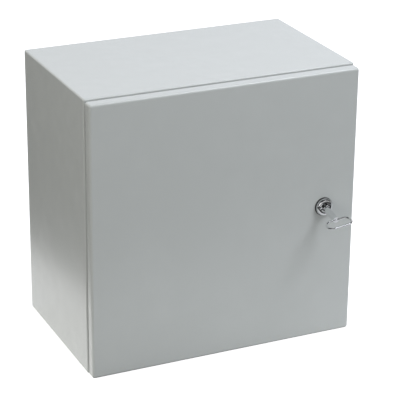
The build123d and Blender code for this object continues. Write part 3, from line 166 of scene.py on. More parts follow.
def build_hairlines():
    """Fine lines drawn along one axis: each axis has its own scale."""
    tree, given, out = start_group("hairlines", ["Scale X", "Scale Y", "Scale Z"], ["Lines"])
    scales = place_node(tree, "ShaderNodeCombineXYZ", {0: given[0], 1: given[1], 2: given[2]}).outputs[0]
    inputs = {0: object_coordinates(tree), 1: scales}
    stretched = place_node(tree, "ShaderNodeVectorMath", inputs, operation="MULTIPLY").outputs[0]
    tree.links.new(noise(tree, stretched, 1.0, detail=3.0, roughness=0.6), out["Lines"])
    return tree


def build_worn_edges():
    """Where an edge has been rubbed: a broken line along it."""
    tree, given, out = start_group("worn_edges", ["Radius", "Break scale"], ["Mask"])
    rounded = place_node(tree, "ShaderNodeBevel", {"Radius": given["Radius"]}, samples=4).outputs[0]
    facing = place_node(tree, "ShaderNodeNewGeometry").outputs["Normal"]
    inputs = {0: rounded, 1: facing}
    agree = place_node(tree, "ShaderNodeVectorMath", inputs, operation="DOT_PRODUCT").outputs["Value"]
    edge = remap(tree, agree, low=0.995, high=0.90)
    breaks = noise(tree, object_coordinates(tree), given["Break scale"], detail=3.0)
    broken = remap(tree, breaks, low=0.40, high=0.62)
    tree.links.new(maths(tree, "MULTIPLY", edge, broken), out["Mask"])
    return tree


def build_settled_dust():
    """Dust that lies on faces that look up."""
    tree, given, out = start_group("settled_dust", ["Amount", "Scale"], ["Mask"])
    facing = place_node(tree, "ShaderNodeNewGeometry").outputs["Normal"]
    level = remap(tree, axis_values(tree, facing)["Z"], low=0.5, high=0.95)
    drift = noise(tree, object_coordinates(tree), given["Scale"], detail=4.0, roughness=0.6)
    patch = remap(tree, drift, low=0.35, high=0.75)
    lying = maths(tree, "MULTIPLY", level, patch)
    tree.links.new(maths(tree, "MULTIPLY", lying, given["Amount"]), out["Mask"])
    return tree


def build_zinc_spangle():
    """The crystal flakes of a hot-dipped zinc coat."""
    tree, given, out = start_group("zinc_spangle", ["Scale", "Depth"], ["Shade", "Flake"])
    coordinates = object_coordinates(tree)
    inputs = {"Vector": coordinates, "Scale": given["Scale"], "Randomness": 1.0}
    cells = place_node(tree, "ShaderNodeTexVoronoi", inputs).outputs["Color"]
    flake = place_node(tree, "ShaderNodeSeparateColor", {0: cells}).outputs[0]
    feather_scale = maths(tree, "MULTIPLY", given["Scale"], FEATHER_SCALE)
    feather = noise(tree, coordinates, feather_scale, detail=3.0)
    flake = maths(tree, "MULTIPLY", flake, FLAKE_SHARE)
    mixed = maths(tree, "MULTIPLY_ADD", feather, FEATHER_SHARE, flake)
    off = maths(tree, "MULTIPLY", maths(tree, "SUBTRACT", mixed, NOISE_MIDDLE), given["Depth"])
    tree.links.new(maths(tree, "ADD", off, 1.0), out["Shade"])
    tree.links.new(mixed, out["Flake"])
    return tree


def build_thread_turns():
    """The turns of a screw thread along one axis, as a height."""
    tree, given, out = start_group("thread_turns", ["Along Y", "Along Z", "Pitch"], ["Height"])
    place = axis_values(tree, object_coordinates(tree))
    inward = maths(tree, "MULTIPLY", place["Y"], given["Along Y"])
    along = maths(tree, "MULTIPLY_ADD", place["Z"], given["Along Z"], inward)
    turn = maths(tree, "DIVIDE", along, given["Pitch"])
    tree.links.new(maths(tree, "PINGPONG", turn, 0.5), out["Height"])
    return tree


SURFACE_TONE = build_surface_tone()
ORANGE_PEEL = build_orange_peel()
MOULDED_GRAIN = build_moulded_grain()
HAIRLINES = build_hairlines()
WORN_EDGES = build_worn_edges()
SETTLED_DUST = build_settled_dust()
ZINC_SPANGLE = build_zinc_spangle()
THREAD_TURNS = build_thread_turns()


def use_group(tree, group, **values):
    """A group placed in a material, with its own values, each named in words joined by underscores."""
    made = tree.nodes.new("ShaderNodeGroup")
    made.node_tree = group
    for name, value in values.items():
        made.inputs[name.replace("_", " ")].default_value = value
    return made.outputs


# Finishes

PAINT_TONE = dict(Blotch_scale=9.0, Blotch_depth=0.022, Grain_scale=1500.0, Grain_depth=0.03)
CHROME_TONE = dict(Blotch_scale=160.0, Blotch_depth=0.06, Grain_scale=3000.0, Grain_depth=0.02)
ZINC_TONE = dict(Blotch_scale=120.0, Blotch_depth=0.16, Grain_scale=2600.0, Grain_depth=0.10)
PLASTIC_TONE = dict(Blotch_scale=30.0, Blotch_depth=0.05, Grain_scale=2200.0, Grain_depth=0.06)
FOAM_TONE = dict(Blotch_scale=40.0, Blotch_depth=0.25, Grain_scale=1800.0, Grain_depth=0.35)
LENS_TONE = dict(Blotch_scale=500.0, Blotch_depth=0.5, Grain_scale=2500.0, Grain_depth=0.08)
PANE_TONE = dict(Blotch_scale=40.0, Blotch_depth=0.3, Grain_scale=1500.0, Grain_depth=0.05)
DUST_ON_PAINT = (0.50, 0.48, 0.44, 1.0)
DUST_ON_PLASTIC = (0.42, 0.40, 0.36, 1.0)
RUBBED_ZINC = (0.78, 0.78, 0.76, 1.0)
ZINC_WEAR = 0.6
PAINT_WEAR = 0.35
SCRATCH_ROUGH = 0.06
LENS_ROUGH = 0.16
PANE_ROUGH = 0.28
PANE_DOTS_PER_METRE = 1250.0
PANE_GAP = 0.16
PANE_GAP_SHADE = 0.55
ZINC = (0.60, 0.60, 0.58)
ZINC_ROUGH = 0.32
INWARD_THREAD = dict(Along_Y=1.0, Along_Z=0.0, Pitch=0.0010)
UPRIGHT_THREAD = dict(Along_Y=0.0, Along_Z=1.0, Pitch=0.0010)
# Colour and roughness of each plain plastic
PLASTICS = {
    "light_plastic": ((0.66, 0.66, 0.63), 0.44),
    "module_plastic": ((0.19, 0.205, 0.22), 0.48),
    "dark_plastic": ((0.026, 0.027, 0.029), 0.46),
    "red_plastic": ((0.42, 0.030, 0.022), 0.36),
    "green_plastic": ((0.030, 0.22, 0.070), 0.40),
    "terminal_plastic": ((0.40, 0.40, 0.365), 0.46),
    "earth_plastic": ((0.28, 0.40, 0.045), 0.44),
}
# Colour and glow of each lens
LENSES = {
    "lens_red": ((0.55, 0.020, 0.014), 0.35),
    "lens_amber": ((0.70, 0.26, 0.012), 0.25),
    "lens_green": ((0.020, 0.42, 0.085), 0.45),
}


def start_finish(name, **settings):
    """A material with its Principled shader, uniform values set on the shader's own sockets."""
    material = bpy.data.materials.new(name)
    material.use_nodes = True
    tree = material.node_tree
    shader = tree.nodes["Principled BSDF"]
    for key, value in settings.items():
        shader.inputs[key.replace("_", " ")].default_value = value
    return material, tree, shader


def shaded(tree, colour, shade):
    """One colour made lighter and darker by a shade."""
    tint = place_node(tree, "ShaderNodeCombineColor", {0: shade, 1: shade, 2: shade}).outputs[0]
    return blend_colours(tree, 1.0, (*colour, 1.0), tint, "MULTIPLY")


def rubbed_tone(colour, gain, lift):
    """The paler colour of a rubbed edge."""
    return (*(min(1.0, channel * gain + lift) for channel in colour), 1.0)


def feed(tree, shader, **sources):
    """Each source joined to the shader's socket of that name."""
    for name, source in sources.items():
        tree.links.new(source, shader.inputs[name.replace("_", " ")])


def bump(tree, shader, height, distance):
    """Relief on the shader's normal, its depth in metres."""
    inputs = {"Height": height, "Distance": distance, "Strength": 1.0}
    feed(tree, shader, Normal=place_node(tree, "ShaderNodeBump", inputs).outputs[0])


def powder_coat(name, colour, rough, dust=0.0, peel_scale=420.0, peel_depth=0.00002, wear=0.0):
    """Baked powder paint on sheet steel."""
    material, tree, shader = start_finish(name, IOR=1.5, Coat_Roughness=0.12)
    tone = use_group(tree, SURFACE_TONE, **PAINT_TONE)
    peel = use_group(tree, ORANGE_PEEL, Scale=peel_scale)
    edges = use_group(tree, WORN_EDGES, Radius=0.0008, Break_scale=260.0)
    painted = shaded(tree, colour, tone["Shade"])
    rubbed = maths(tree, "MULTIPLY", edges["Mask"], PAINT_WEAR + wear)
    painted = blend_colours(tree, rubbed, painted, rubbed_tone(colour, gain=1.12, lift=0.02))
    if dust:
        lying = use_group(tree, SETTLED_DUST, Amount=dust, Scale=35.0)
        painted = blend_colours(tree, lying["Mask"], painted, DUST_ON_PAINT)
    feed(tree, shader, Base_Color=painted, Roughness=maths(tree, "ADD", tone["Rough"], rough))
    bump(tree, shader, peel["Height"], peel_depth)
    return material


def bright_chrome(name, colour, rough):
    """Polished chrome with hairline scratches and finger film."""
    material, tree, shader = start_finish(name, Metallic=1.0)
    tone = use_group(tree, SURFACE_TONE, **CHROME_TONE)
    lines = use_group(tree, HAIRLINES, Scale_X=900.0, Scale_Y=900.0, Scale_Z=9000.0)
    plated = shaded(tree, colour, tone["Shade"])
    film = maths(tree, "ADD", tone["Rough"], rough)
    scored = maths(tree, "MULTIPLY", remap(tree, lines["Lines"], low=0.55, high=0.75), SCRATCH_ROUGH)
    feed(tree, shader, Base_Color=plated, Roughness=maths(tree, "ADD", film, scored))
    bump(tree, shader, lines["Lines"], distance=0.000001)
    return material


def plated_steel(name, colour, rough, threads=None):
    """Zinc-plated steel, with a thread's turns where it is a stud."""
    material, tree, shader = start_finish(name, Metallic=1.0)
    tone = use_group(tree, SURFACE_TONE, **ZINC_TONE)
    edges = use_group(tree, WORN_EDGES, Radius=0.0004, Break_scale=500.0)
    plated = shaded(tree, colour, tone["Shade"])
    plated = blend_colours(tree, maths(tree, "MULTIPLY", edges["Mask"], ZINC_WEAR), plated, RUBBED_ZINC)
    feed(tree, shader, Base_Color=plated, Roughness=maths(tree, "ADD", tone["Rough"], rough))
    if threads:
        turns = use_group(tree, THREAD_TURNS, **threads)
        bump(tree, shader, turns["Height"], distance=0.0006)
    else:
        lines = use_group(tree, HAIRLINES, Scale_X=200.0, Scale_Y=1800.0, Scale_Z=1800.0)
        bump(tree, shader, lines["Lines"], distance=0.00001)
    return material


def galvanised_sheet(name, colour):
    """Hot-dipped sheet with its spangle."""
    material, tree, shader = start_finish(name, Metallic=1.0)
    flakes = use_group(tree, ZINC_SPANGLE, Scale=95.0, Depth=0.22)
    rough = remap(tree, flakes["Flake"], low=0.0, high=1.0, to_low=0.34, to_high=0.50)
    feed(tree, shader, Base_Color=shaded(tree, colour, flakes["Shade"]), Roughness=rough)
    bump(tree, shader, flakes["Flake"], distance=0.000015)
    return material


def moulded_plastic(name, colour, rough, grain_scale=1500.0, grain_depth=0.00003, dust=0.10, wear=0.25):
    """Moulded housing with a fine grain, pale at its rubbed edges."""
    material, tree, shader = start_finish(name, IOR=1.48)
    tone = use_group(tree, SURFACE_TONE, **PLASTIC_TONE)
    grain = use_group(tree, MOULDED_GRAIN, Scale=grain_scale)
    edges = use_group(tree, WORN_EDGES, Radius=0.0004, Break_scale=420.0)
    lying = use_group(tree, SETTLED_DUST, Amount=dust, Scale=70.0)
    moulded = shaded(tree, colour, tone["Shade"])
    rubbed = maths(tree, "MULTIPLY", edges["Mask"], wear)
    moulded = blend_colours(tree, rubbed, moulded, rubbed_tone(colour, gain=0.75, lift=0.22))
    moulded = blend_colours(tree, lying["Mask"], moulded, DUST_ON_PLASTIC)
    feed(tree, shader, Base_Color=moulded, Roughness=maths(tree, "ADD", tone["Rough"], rough))
    bump(tree, shader, grain["Height"], grain_depth)
    return material


def closed_foam(name, colour):
    """Skinned polyurethane foam with small open cells."""
    material, tree, shader = start_finish(name, Roughness=0.82, IOR=1.4, Sheen_Weight=0.15)
    tone = use_group(tree, SURFACE_TONE, **FOAM_TONE)
    cells = use_group(tree, MOULDED_GRAIN, Scale=900.0)
    feed(tree, shader, Base_Color=shaded(tree, colour, tone["Shade"]))
    bump(tree, shader, cells["Height"], distance=0.00018)
    return material


def clear_lens(name, colour, glow):
    """Tinted lens of an indicator, faintly lit."""
    material, tree, shader = start_finish(
        name, IOR=1.49, Coat_Weight=0.4, Coat_Roughness=0.05, Emission_Strength=glow
    )
    tone = use_group(tree, SURFACE_TONE, **LENS_TONE)
    tinted = shaded(tree, colour, tone["Shade"])
    rough = maths(tree, "ADD", tone["Rough"], LENS_ROUGH, clamp=True)
    feed(tree, shader, Base_Color=tinted, Emission_Color=tinted, Roughness=rough)
    return material


def display_glass(name, colour):
    """Dark pane with the grid of a display behind it."""
    material, tree, shader = start_finish(name, IOR=1.5, Coat_Weight=1.0, Coat_Roughness=0.03)
    scaled = {0: object_coordinates(tree), 1: (PANE_DOTS_PER_METRE,) * 3}
    steps = place_node(tree, "ShaderNodeVectorMath", scaled, operation="MULTIPLY").outputs[0]
    cell = place_node(tree, "ShaderNodeVectorMath", {0: steps}, operation="FRACTION").outputs[0]
    place = axis_values(tree, cell)
    across = maths(tree, "GREATER_THAN", place["X"], PANE_GAP)
    down = maths(tree, "GREATER_THAN", place["Z"], PANE_GAP)
    dots = maths(tree, "MULTIPLY", across, down)
    tone = use_group(tree, SURFACE_TONE, **PANE_TONE)
    gaps = shaded(tree, tuple(channel * PANE_GAP_SHADE for channel in colour), tone["Shade"])
    lit = shaded(tree, colour, tone["Shade"])
    rough = maths(tree, "ADD", tone["Rough"], PANE_ROUGH, clamp=True)
    feed(tree, shader, Base_Color=blend_colours(tree, dots, gaps, lit), Roughness=rough)
    return material


def make_finishes():
    """One finish for each material slot of the record."""
    made = {
        "cabinet_paint": powder_coat("cabinet_paint", (0.555, 0.580, 0.572), rough=0.27),
        "chrome": bright_chrome("chrome", (0.80, 0.81, 0.82), rough=0.07),
        "zinc_steel": plated_steel("zinc_steel", ZINC, ZINC_ROUGH),
        "galvanised": galvanised_sheet("galvanised", (0.62, 0.64, 0.65)),
        "hinge_metal": powder_coat(
            "hinge_metal", (0.028, 0.028, 0.031), rough=0.42, dust=0.1, peel_scale=900.0, wear=0.4
        ),
        "foam_seal": closed_foam("foam_seal", (0.030, 0.030, 0.031)),
        "rubber": moulded_plastic(
            "rubber", (0.022, 0.022, 0.023), rough=0.66,
            grain_scale=900.0, grain_depth=0.00004, dust=0.05, wear=0.1,
        ),
        "relay_plastic": moulded_plastic(
            "relay_plastic", (0.060, 0.062, 0.070), rough=0.14, grain_scale=1200.0, grain_depth=0.000008
        ),
        "case_metal": plated_steel("case_metal", (0.66, 0.67, 0.68), rough=0.42),
        "display_pane": display_glass("display_pane", (0.050, 0.085, 0.055)),
    }
    for name, (colour, rough) in PLASTICS.items():
        made[name] = moulded_plastic(name, colour, rough)
    for name, (colour, glow) in LENSES.items():
        made[name] = clear_lens(name, colour, glow)
    return made


def make_thread_finishes():
    """The finish of each stud, its thread along the stud's own axis."""
    inward = plated_steel("inward_thread", ZINC, ZINC_ROUGH, INWARD_THREAD)
    upright = plated_steel("upright_thread", ZINC, ZINC_ROUGH, UPRIGHT_THREAD)
    return {
        "mounting_studs": inward,
        "door_earth_stud": inward,
        "gland_studs": upright,
        "body_earth_stud": upright,
    }


finishes = make_finishes()
thread_finishes = make_thread_finishes()
for node_name, piece in nodes.items():
    for holder in piece.material_slots:
        holder.material = thread_finishes.get(node_name) or finishes[slot_of_node[node_name]]


# Seals, which the solids leave plain

SWEPT_SHARP_DEGREES = 50.0
SEAL_BEAD_WIDTH = 0.010
SEAL_BEAD_CORNER = 0.006
# Half of the bead's section, as shares of its half width and of its height
SEAL_BEAD_SIDE = [
    (0.92, 0.0), (1.0, 0.20), (0.97, 0.50), (0.82, 0.78),
    (0.60, 0.92), (0.36, 0.94), (0.24, 0.86), (0.14, 0.74),
]
SEAL_PRINT_LEVEL = 0.71
# Depth, rate and start of each ripple along the bead
SEAL_RIPPLES = [(0.012, 410.0, 0.0), (0.010, 173.0, 1.3)]
SEAL_OVERLAP_RISE = 0.035
SEAL_OVERLAP_AT = 0.61
SEAL_OVERLAP_LENGTH = 0.006
GLAND_SEAL_WIDTH = 0.018
GLAND_SEAL_EDGE = [(1.0, 0.0), (1.035, 0.18), (1.05, 0.5), (1.035, 0.82), (1.0, 1.0)]
ROUND_STEPS = 64
LOCK_BARREL_RADIUS = 0.01005
LOCK_SEAL_SWELL = [(0.0, 0.0), (0.0003, 0.25), (0.0004, 0.5), (0.0003, 0.75), (0.0, 1.0)]
COLLAR_CLEARANCE = 0.00002
COLLAR_REACH = 0.0007
COLLAR_HEIGHT = 0.0026
COLLAR_SIDE = [(1.0, 0.0), (1.0, 0.55), (0.88, 0.82), (0.55, 0.97), (0.0, 1.0), (0.0, 0.0)]


def hang_piece(name, mesh, body, slot, *replaced):
    """A finished mesh as a piece that rides on a body, in a slot's finish."""
    if not mesh.materials:
        mesh.materials.append(finishes[slot])
    piece = bpy.data.objects.new(name, mesh)
    bpy.context.scene.collection.objects.link(piece)
    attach(piece, body)
    if replaced:
        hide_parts(*replaced)
    return piece


def smooth_faces(mesh, sharp_degrees):
    """Smooth shading, broken at edges sharper than an angle."""
    mesh.shade_smooth()
    mesh.set_sharp_from_angle(angle=math.radians(sharp_degrees))


def rounded_loop(half_wide, half_high, corner, run_steps, turn_steps):
    """Points round a rectangle with rounded corners, each with its outward direction."""
    corners = []
    for quarter, (side_x, side_y) in enumerate(((1, 1), (-1, 1), (-1, -1), (1, -1))):
        centre = Vector((side_x * (half_wide - corner), side_y * (half_high - corner)))
        for step in range(turn_steps + 1):
            angle = (quarter + step / turn_steps) * math.pi / 2
            out = Vector((math.cos(angle), math.sin(angle)))
            corners.append((centre + out * corner, out))
    loop = []
    for number, (here, after) in enumerate(zip(corners, corners[1:] + corners[:1])):
        straight = number % (turn_steps + 1) == turn_steps
        steps = run_steps if straight else 1
        loop += [(here[0].lerp(after[0], step / steps), here[1]) for step in range(steps)]
    return loop


def square_loop(half_wide, half_high):
    """The four corners of a frame with mitred corners."""
    signs = ((1, 1), (-1, 1), (-1, -1), (1, -1))
    return [(Vector((x * half_wide, y * half_high)), Vector((x, y))) for x, y in signs]


def round_loop(radius):
    """Points round a circle, each with its outward direction."""
    turns = [math.tau * step / ROUND_STEPS for step in range(ROUND_STEPS)]
    outs = [Vector((math.cos(turn), math.sin(turn))) for turn in turns]
    return [(out * radius, out) for out in outs]


def swept_band(name, loop, profile, point_at):
    """A closed band: a closed profile of (across, up) points carried round a loop."""
    shape = bmesh.new()
    rings = []
    for number, (place, out) in enumerate(loop):
        along = number / len(loop)
        rings.append([shape.verts.new(point_at(along, place + out * across, up)) for across, up in profile])
    for ring, after in zip(rings, rings[1:] + rings[:1]):
        for here in range(len(profile)):
            following = (here + 1) % len(profile)
            shape.faces.new((ring[here], ring[following], after[following], after[here]))
    bmesh.ops.recalc_face_normals(shape, faces=shape.faces)
    mesh = bpy.data.meshes.new(name)
    shape.to_mesh(mesh)
    shape.free()
    smooth_faces(mesh, SWEPT_SHARP_DEGREES)
    return mesh


def foam_door_seal():
    """Foamed-in-place bead: a crowned ridge with the print of the body's lip, and one overlap in its run."""
    low, high = (Vector(corner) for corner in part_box("door_gasket"))
    middle = (low + high) / 2
    half = SEAL_BEAD_WIDTH / 2
    half_wide = (high.x - low.x) / 2 - half
    half_high = (high.z - low.z) / 2 - half
    loop = rounded_loop(half_wide, half_high, SEAL_BEAD_CORNER, run_steps=60, turn_steps=8)
    right = [(across * half, up) for across, up in SEAL_BEAD_SIDE]
    left = [(-across, up) for across, up in reversed(right)]
    profile = right + [(0.0, SEAL_PRINT_LEVEL)] + left
    tall = high.y - low.y

    def point_at(along, place, up):
        ripple = sum(depth * math.sin(along * rate + start) for depth, rate, start in SEAL_RIPPLES)
        from_overlap = (along - SEAL_OVERLAP_AT) / SEAL_OVERLAP_LENGTH
        overlap = SEAL_OVERLAP_RISE * math.exp(-(from_overlap ** 2))
        return (middle.x + place.x, low.y + tall * up * (1.0 + ripple + overlap), middle.z + place.y)

    mesh = swept_band("foam_door_seal", loop, profile, point_at)
    hang_piece("foam_door_seal", mesh, "door", "foam_seal", "door_gasket")


def squeezed_gland_seal():
    """Rubber frame under the gland plate, swollen at its edges where the plate presses it."""
    low, high = (Vector(corner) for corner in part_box("gland_gasket"))
    middle = (low + high) / 2
    half = GLAND_SEAL_WIDTH / 2
    tall = high.z - low.z
    outer = [(across * half, up) for across, up in GLAND_SEAL_EDGE]
    inner = [(-across * half, up) for across, up in reversed(GLAND_SEAL_EDGE)]
    loop = square_loop((high.x - low.x) / 2 - half, (high.y - low.y) / 2 - half)

    def point_at(along, place, up):
        return (middle.x + place.x, middle.y + place.y, low.z + tall * up)

    mesh = swept_band("squeezed_gland_seal", loop, outer + inner, point_at)
    hang_piece("squeezed_gland_seal", mesh, "cabinet", "rubber", "gland_gasket")


def squeezed_lock_seal():
    """Rubber ring behind the bezel, swollen at its outer edge."""
    low, high = (Vector(corner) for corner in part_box("lock_seal"))
    middle = (low + high) / 2
    outer = (high.x - low.x) / 2
    tall = high.y - low.y
    profile = [(outer + swell - LOCK_BARREL_RADIUS, up) for swell, up in LOCK_SEAL_SWELL]
    profile += [(0.0, 1.0), (0.0, 0.0)]

    def point_at(along, place, up):
        return (middle.x + place.x, low.y + tall * up, middle.z + place.y)

    mesh = swept_band("squeezed_lock_seal", round_loop(LOCK_BARREL_RADIUS), profile, point_at)
    hang_piece("squeezed_lock_seal", mesh, "door", "rubber", "lock_seal")


def lock_seal_collar():
    """The seal's soft edge, turned up round the foot of the bezel."""
    low, high = (Vector(corner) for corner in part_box("lock_seal"))
    bezel_low, bezel_high = (Vector(corner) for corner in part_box("lock_housing"))
    middle = (low + high) / 2
    foot = (bezel_high.x - bezel_low.x) / 2 + COLLAR_CLEARANCE
    profile = [(out * COLLAR_REACH, rise * COLLAR_HEIGHT) for out, rise in COLLAR_SIDE]

    def point_at(along, place, rise):
        return (middle.x + place.x, high.y - rise, middle.z + place.y)

    mesh = swept_band("lock_seal_collar", round_loop(foot), profile, point_at)
    hang_piece("lock_seal_collar", mesh, "door", "rubber")


foam_door_seal()
squeezed_gland_seal()
squeezed_lock_seal()
lock_seal_collar()


# Repeated pieces, each grown by a geometry tree

GROWN_SHARP_DEGREES = 35.0
HEAD_SIDES = 20
HEAD_CROWN = 0.84
CORNER_STEPS = 4
BLOCK_WALL = 0.7
BLOCK_EASE = 0.3
MERGE_DISTANCE = 0.00001
BEAD_SIDES = 10
STEPS_PER_RIPPLE = 4.0


def start_tree(name, *sizes):
    """An empty geometry tree that takes places, named sizes, a seed and a finish."""
    tree = bpy.data.node_groups.new(name, "GeometryNodeTree")
    kinds = {"Places": "NodeSocketGeometry", "Seed": "NodeSocketInt", "Finish": "NodeSocketMaterial"}
    for label in ("Places", *sizes, "Seed", "Finish"):
        kind = kinds.get(label, "NodeSocketFloat")
        tree.interface.new_socket(label, in_out="INPUT", socket_type=kind)
    tree.interface.new_socket("Pieces", in_out="OUTPUT", socket_type="NodeSocketGeometry")
    return tree, tree.nodes.new("NodeGroupInput").outputs, tree.nodes.new("NodeGroupOutput").inputs


def end_tree(tree, given, out, instances):
    """Real geometry in its finish."""
    real = place_node(tree, "GeometryNodeRealizeInstances", {"Geometry": instances}).outputs[0]
    finished = {"Geometry": real, "Material": given["Finish"]}
    tree.links.new(place_node(tree, "GeometryNodeSetMaterial", finished).outputs[0], out["Pieces"])
    return tree


def size_vector(tree, x=0.0, y=0.0, z=0.0):
    """Three sizes as one vector."""
    return place_node(tree, "ShaderNodeCombineXYZ", {0: x, 1: y, 2: z}).outputs[0]


def facing_front(tree, turn):
    """A turn that stands a piece made along Z on a face that looks to -Y, then spins it about that axis."""
    angles = size_vector(tree, math.pi / 2, turn)
    return place_node(tree, "FunctionNodeEulerToRotation", {0: angles}).outputs[0]


def build_driven_screws():
    """Screw heads with a cross recess, each stopped at its own turn."""
    tree, given, out = start_tree(
        "driven_screws", "Head radius", "Head height", "Slot width", "Slot length", "Slot depth"
    )
    radius, height = given["Head radius"], given["Head height"]
    crown = maths(tree, "MULTIPLY", radius, HEAD_CROWN)
    sizes = {"Vertices": HEAD_SIDES, "Radius Top": crown, "Radius Bottom": radius, "Depth": height}
    head = place_node(tree, "GeometryNodeMeshCone", sizes).outputs["Mesh"]
    long, wide = given["Slot length"], given["Slot width"]
    deep = maths(tree, "MULTIPLY", given["Slot depth"], 2.0)
    lift = size_vector(tree, z=height)
    for size in (size_vector(tree, long, wide, deep), size_vector(tree, wide, long, deep)):
        cutter = place_node(tree, "GeometryNodeMeshCube", {"Size": size}).outputs["Mesh"]
        moved = {"Geometry": cutter, "Translation": lift}
        raised = place_node(tree, "GeometryNodeTransform", moved).outputs[0]
        cut = {"Mesh 1": head, "Mesh 2": raised}
        head = place_node(tree, "GeometryNodeMeshBoolean", cut, operation="DIFFERENCE").outputs["Mesh"]
    drawn = {2: 0.0, 3: math.pi, 8: given["Seed"]}
    spin = place_node(tree, "FunctionNodeRandomValue", drawn, data_type="FLOAT").outputs[1]
    stood = {"Points": given["Places"], "Instance": head, "Rotation": facing_front(tree, spin)}
    return end_tree(tree, given, out, place_node(tree, "GeometryNodeInstanceOnPoints", stood).outputs[0])


def build_rounded_blocks():
    """Small moulded blocks with rounded corners and an eased front edge."""
    tree, given, out = start_tree("rounded_blocks", "Wide", "High", "Thick", "Corner", "Crown")
    sizes = {"Width": given["Wide"], "Height": given["High"]}
    outline = place_node(tree, "GeometryNodeCurvePrimitiveQuadrilateral", sizes).outputs[0]
    eased = {"Curve": outline, "Count": CORNER_STEPS, "Radius": given["Corner"], "Limit Radius": True}
    outline = place_node(tree, "GeometryNodeFilletCurve", eased, mode="POLY").outputs[0]
    base = place_node(tree, "GeometryNodeFillCurve", {"Curve": outline}, mode="NGONS").outputs[0]
    wall = maths(tree, "MULTIPLY", given["Thick"], BLOCK_WALL)
    raised = {"Mesh": base, "Offset Scale": wall, "Individual": False}
    walls = place_node(tree, "GeometryNodeExtrudeMesh", raised, mode="FACES").outputs
    ease = maths(tree, "MULTIPLY", given["Thick"], BLOCK_EASE)
    raised = {"Mesh": walls["Mesh"], "Selection": walls["Top"], "Offset Scale": ease, "Individual": False}
    cap = place_node(tree, "GeometryNodeExtrudeMesh", raised, mode="FACES").outputs
    drawn = {"Geometry": cap["Mesh"], "Selection": cap["Top"], "Scale": given["Crown"]}
    crowned = place_node(tree, "GeometryNodeScaleElements", drawn, domain="FACE").outputs[0]
    under = place_node(tree, "GeometryNodeFlipFaces", {"Mesh": base}).outputs[0]
    joined = place_node(tree, "GeometryNodeJoinGeometry")
    for part in (crowned, under):
        tree.links.new(part, joined.inputs[0])
    closed = {"Geometry": joined.outputs[0], "Distance": MERGE_DISTANCE}
    closed = place_node(tree, "GeometryNodeMergeByDistance", closed).outputs[0]
    stood = {"Points": given["Places"], "Instance": closed, "Rotation": facing_front(tree, 0.0)}
    return end_tree(tree, given, out, place_node(tree, "GeometryNodeInstanceOnPoints", stood).outputs[0])


def build_weld_runs():
    """Rippled weld beads along lines, thinner at their ends."""
    tree, given, out = start_tree("weld_runs", "Bead radius", "Ripple", "Ripple depth")
    path = place_node(tree, "GeometryNodeMeshToCurve", {"Mesh": given["Places"]}).outputs[0]
    stepped = {"Curve": path, "Length": maths(tree, "DIVIDE", given["Ripple"], STEPS_PER_RIPPLE)}
    path = place_node(tree, "GeometryNodeResampleCurve", stepped, mode="LENGTH").outputs[0]
    run = place_node(tree, "GeometryNodeSplineParameter").outputs
    turns = maths(tree, "MULTIPLY", maths(tree, "DIVIDE", run["Length"], given["Ripple"]), math.tau)
    wave = maths(tree, "MULTIPLY_ADD", maths(tree, "SINE", turns), given["Ripple depth"], 1.0)
    from_end = maths(tree, "MINIMUM", run["Factor"], maths(tree, "SUBTRACT", 1.0, run["Factor"]))
    taper = remap(tree, from_end, low=0.0, high=0.08, to_low=0.45)
    round_sizes = {"Resolution": BEAD_SIDES, "Radius": given["Bead radius"]}
    ring = place_node(tree, "GeometryNodeCurvePrimitiveCircle", round_sizes).outputs[0]
    thick = maths(tree, "MULTIPLY", wave, taper)
    bead = {"Curve": path, "Profile Curve": ring, "Scale": thick, "Fill Caps": True}
    return end_tree(tree, given, out, place_node(tree, "GeometryNodeCurveToMesh", bead).outputs[0])


def grow(name, tree, body, slot, places, lines=(), **sizes):
    """Runs a tree on places or lines, and hangs the plain mesh that it makes."""
    marks = bpy.data.meshes.new(name + "_places")
    marks.from_pydata(places, list(lines), [])
    holder = bpy.data.objects.new(name + "_places", marks)
    bpy.context.scene.collection.objects.link(holder)
    modifier = holder.modifiers.new("grow", "NODES")
    modifier.node_group = tree
    wanted = {label.replace("_", " "): value for label, value in sizes.items()}
    wanted["Finish"] = finishes[slot]
    for socket in tree.interface.items_tree:
        if socket.in_out == "INPUT" and socket.name in wanted:
            modifier[socket.identifier] = wanted[socket.name]
    graph = bpy.context.evaluated_depsgraph_get()
    mesh = bpy.data.meshes.new_from_object(holder.evaluated_get(graph))
    mesh.name = name
    holder.modifiers.remove(modifier)
    bpy.data.objects.remove(holder)
    bpy.data.meshes.remove(marks)
    smooth_faces(mesh, GROWN_SHARP_DEGREES)
    hang_piece(name, mesh, body, slot)


DRIVEN_SCREWS = build_driven_screws()
ROUNDED_BLOCKS = build_rounded_blocks()
WELD_RUNS = build_weld_runs()


# Places of the small pieces, in millimetres

BREAKER_COLUMNS = (-83.05, -65.55)
DRIVER_MIDDLES = [-2.6 + 25.4 * number + 12.5 for number in range(4)]
CONTROLLER_MIDDLE = -67.0
PLUG_PITCH = 6.0
PLUG_COLUMNS = [CONTROLLER_MIDDLE + PLUG_PITCH * step for step in range(-9, 10)]
PLUG_COLUMNS += [middle + PLUG_PITCH * step for middle in DRIVER_MIDDLES for step in (-1, 0, 1)]
TERMINAL_PITCH = 8.4
TERMINAL_HALF = 4.0
TERMINAL_COLUMNS = [-105.3 + TERMINAL_PITCH * number + TERMINAL_HALF for number in range(20)]
EARTH_COLUMNS = [72.1 + TERMINAL_PITCH * number + TERMINAL_HALF for number in range(4)]
BRACKET_ROWS = [side * 118.0 + offset for side in (-1, 1) for offset in (-11.0, 11.0)]
MODULE_FACE = -88.9
SUPPLY_FACE = -117.9
